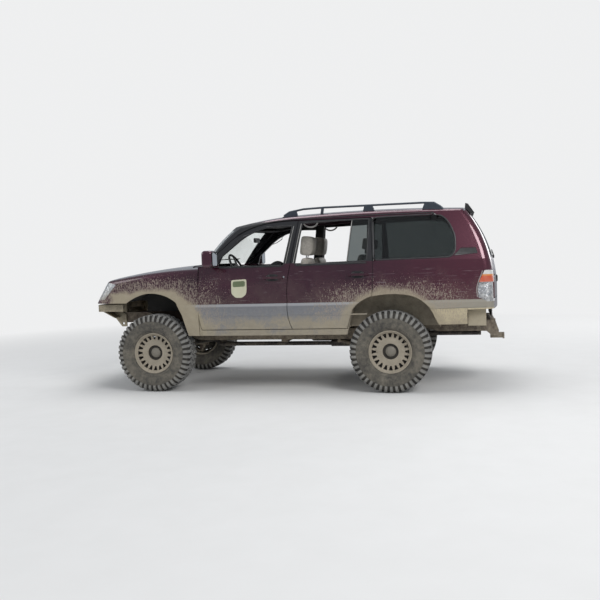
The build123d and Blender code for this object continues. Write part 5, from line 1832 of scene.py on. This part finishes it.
@dataclass
class Tail:
    """Tailgate wiper, pull bar and lamp lines."""

    bar_half: float = 0.34
    bar_z: float = 1.245
    lamp_line: tuple[Flat, ...] = ((-2.222, 1.352), (-2.200, 1.290), (-2.176, 1.235), (-2.155, 1.160),
                                   (-2.162, 1.062))

    def build(self) -> None:
        """Dress the tail."""
        self.wiper()
        self.handle()
        self.lamp_trim()

    def wiper(self) -> None:
        """Rear wiper parked at the foot of the glass."""
        skin = skin_of("gate_glass", "gate_upper")
        work = Builder()
        line = []
        for step in range(8):
            y = -0.02 + 0.42 * step / 7
            found = skin.back(y, 1.545 + 0.03 * math.sin(math.pi * step / 7))
            if found:
                line.append(found[0] + found[1] * 0.014)
        work.tube(line, 0.006, 8)
        pivot = skin.back(-0.02, 1.50)[0]
        work.tube([pivot - Vector((0.002, 0, 0)), pivot - Vector((0.022, 0, 0))], 0.02, 16)
        work.tube([pivot - Vector((0.018, 0, 0)), line[3]], 0.007, 8)
        work.piece("rear_wiper", "trim_black", "upper_gate", smooth=45)

    def handle(self) -> None:
        """Pull bar across the lower leaf."""
        skin = skin_of("gate_lower")
        found = (skin.back(self.bar_half * (step / 6 - 1), self.bar_z) for step in range(13))
        path = [(hit[0], Vector((-1, 0, 0))) for hit in found if hit]
        work = Builder()
        work.grid(strip_rows(path, 0.075, 0.012, 0.002, False), close_rows=True, caps=True)
        work.piece("gate_trim", "trim_black", "lower_gate", smooth=40, bevel=0.002)

    def lamp_trim(self) -> None:
        """Pale line ahead of each tail lamp."""
        for side in Side:
            wall = skin_of(f"body_side_{side.word}")
            flat = divided(rounded_path(self.lamp_line, 0.03, 4, False), 0.02, False)
            path = [wall.side(x, z, side) for x, z in flat]
            work = Builder()
            work.grid(strip_rows(path, 0.007, 0.003, 0.002, False), close_rows=True, caps=True)
            work.piece(f"lamp_line_{side.word}", "seal_pale", "vehicle", smooth=50)


@dataclass
class Cabin:
    """Grab handles, inner mirror and dial hood."""

    mirror_x: float = 0.57
    mirror_z: float = 1.80
    dials_y: float = 0.38

    def build(self) -> None:
        """Dress the inside."""
        self.handles()
        self.mirror()
        self.gauges()

    def handles(self) -> None:
        """Curved grab handle over each rear door."""
        for side in Side:
            work = Builder()
            path = []
            for step in range(13):
                share = step / 12
                drop = math.sin(math.pi * share) ** 0.6 * 0.05
                path.append(Vector((-0.19 - 0.17 * share, side.value * (0.70 - drop * 0.4), 1.965 - drop)))
            work.tube(path, 0.010, 10)
            work.piece(f"grab_handle_{side.word}", "lining_pale", "vehicle", smooth=60)

    def mirror(self) -> None:
        """Inner mirror on its stalk."""
        work = Builder()
        line = rounded_path(((-0.12, -0.03), (-0.12, 0.03), (0.12, 0.03), (0.12, -0.03)), 0.02, 4)
        rows = []
        for shift, share in ((0.0, 0.93), (0.004, 1.0), (0.02, 0.98), (0.028, 0.8)):
            rows.append([(self.mirror_x + shift, y * share, self.mirror_z + z * share) for y, z in line])
        work.grid(rows, close_rows=True, caps=True)
        work.piece("inner_mirror", "trim_black", "vehicle", smooth=50)

    def gauges(self) -> None:
        """Cowl over the dials."""
        low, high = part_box("dashboard")
        work = Builder()
        rows = []
        for step in range(7):
            x = low.x + 0.03 + 0.13 * step / 6
            rise = 0.045 * math.sin(math.pi * (step + 1) / 8)
            rows.append([(x, self.dials_y + 0.19 * math.cos(turn),
                          high.z - 0.045 + (0.05 + rise) * math.sin(turn))
                         for turn in (math.pi * arc / 12 for arc in range(13))])
        work.grid(rows)
        work.piece("dial_hood", "dash_grey", "vehicle", smooth=50, thick=0.006)


def main() -> None:
    """Build every sub-assembly in order."""
    logging.basicConfig(level=logging.INFO, format="%(message)s")
    for part in (Studio(), CarriedNodes(), Tyres(), WheelFittings(), Cushions(), Flanks(), FrontEnd(), Tail(),
                 Cabin()):
        part.build()
        LOG.info("built %s", type(part).__name__)


if __name__ == "__main__":
    main()
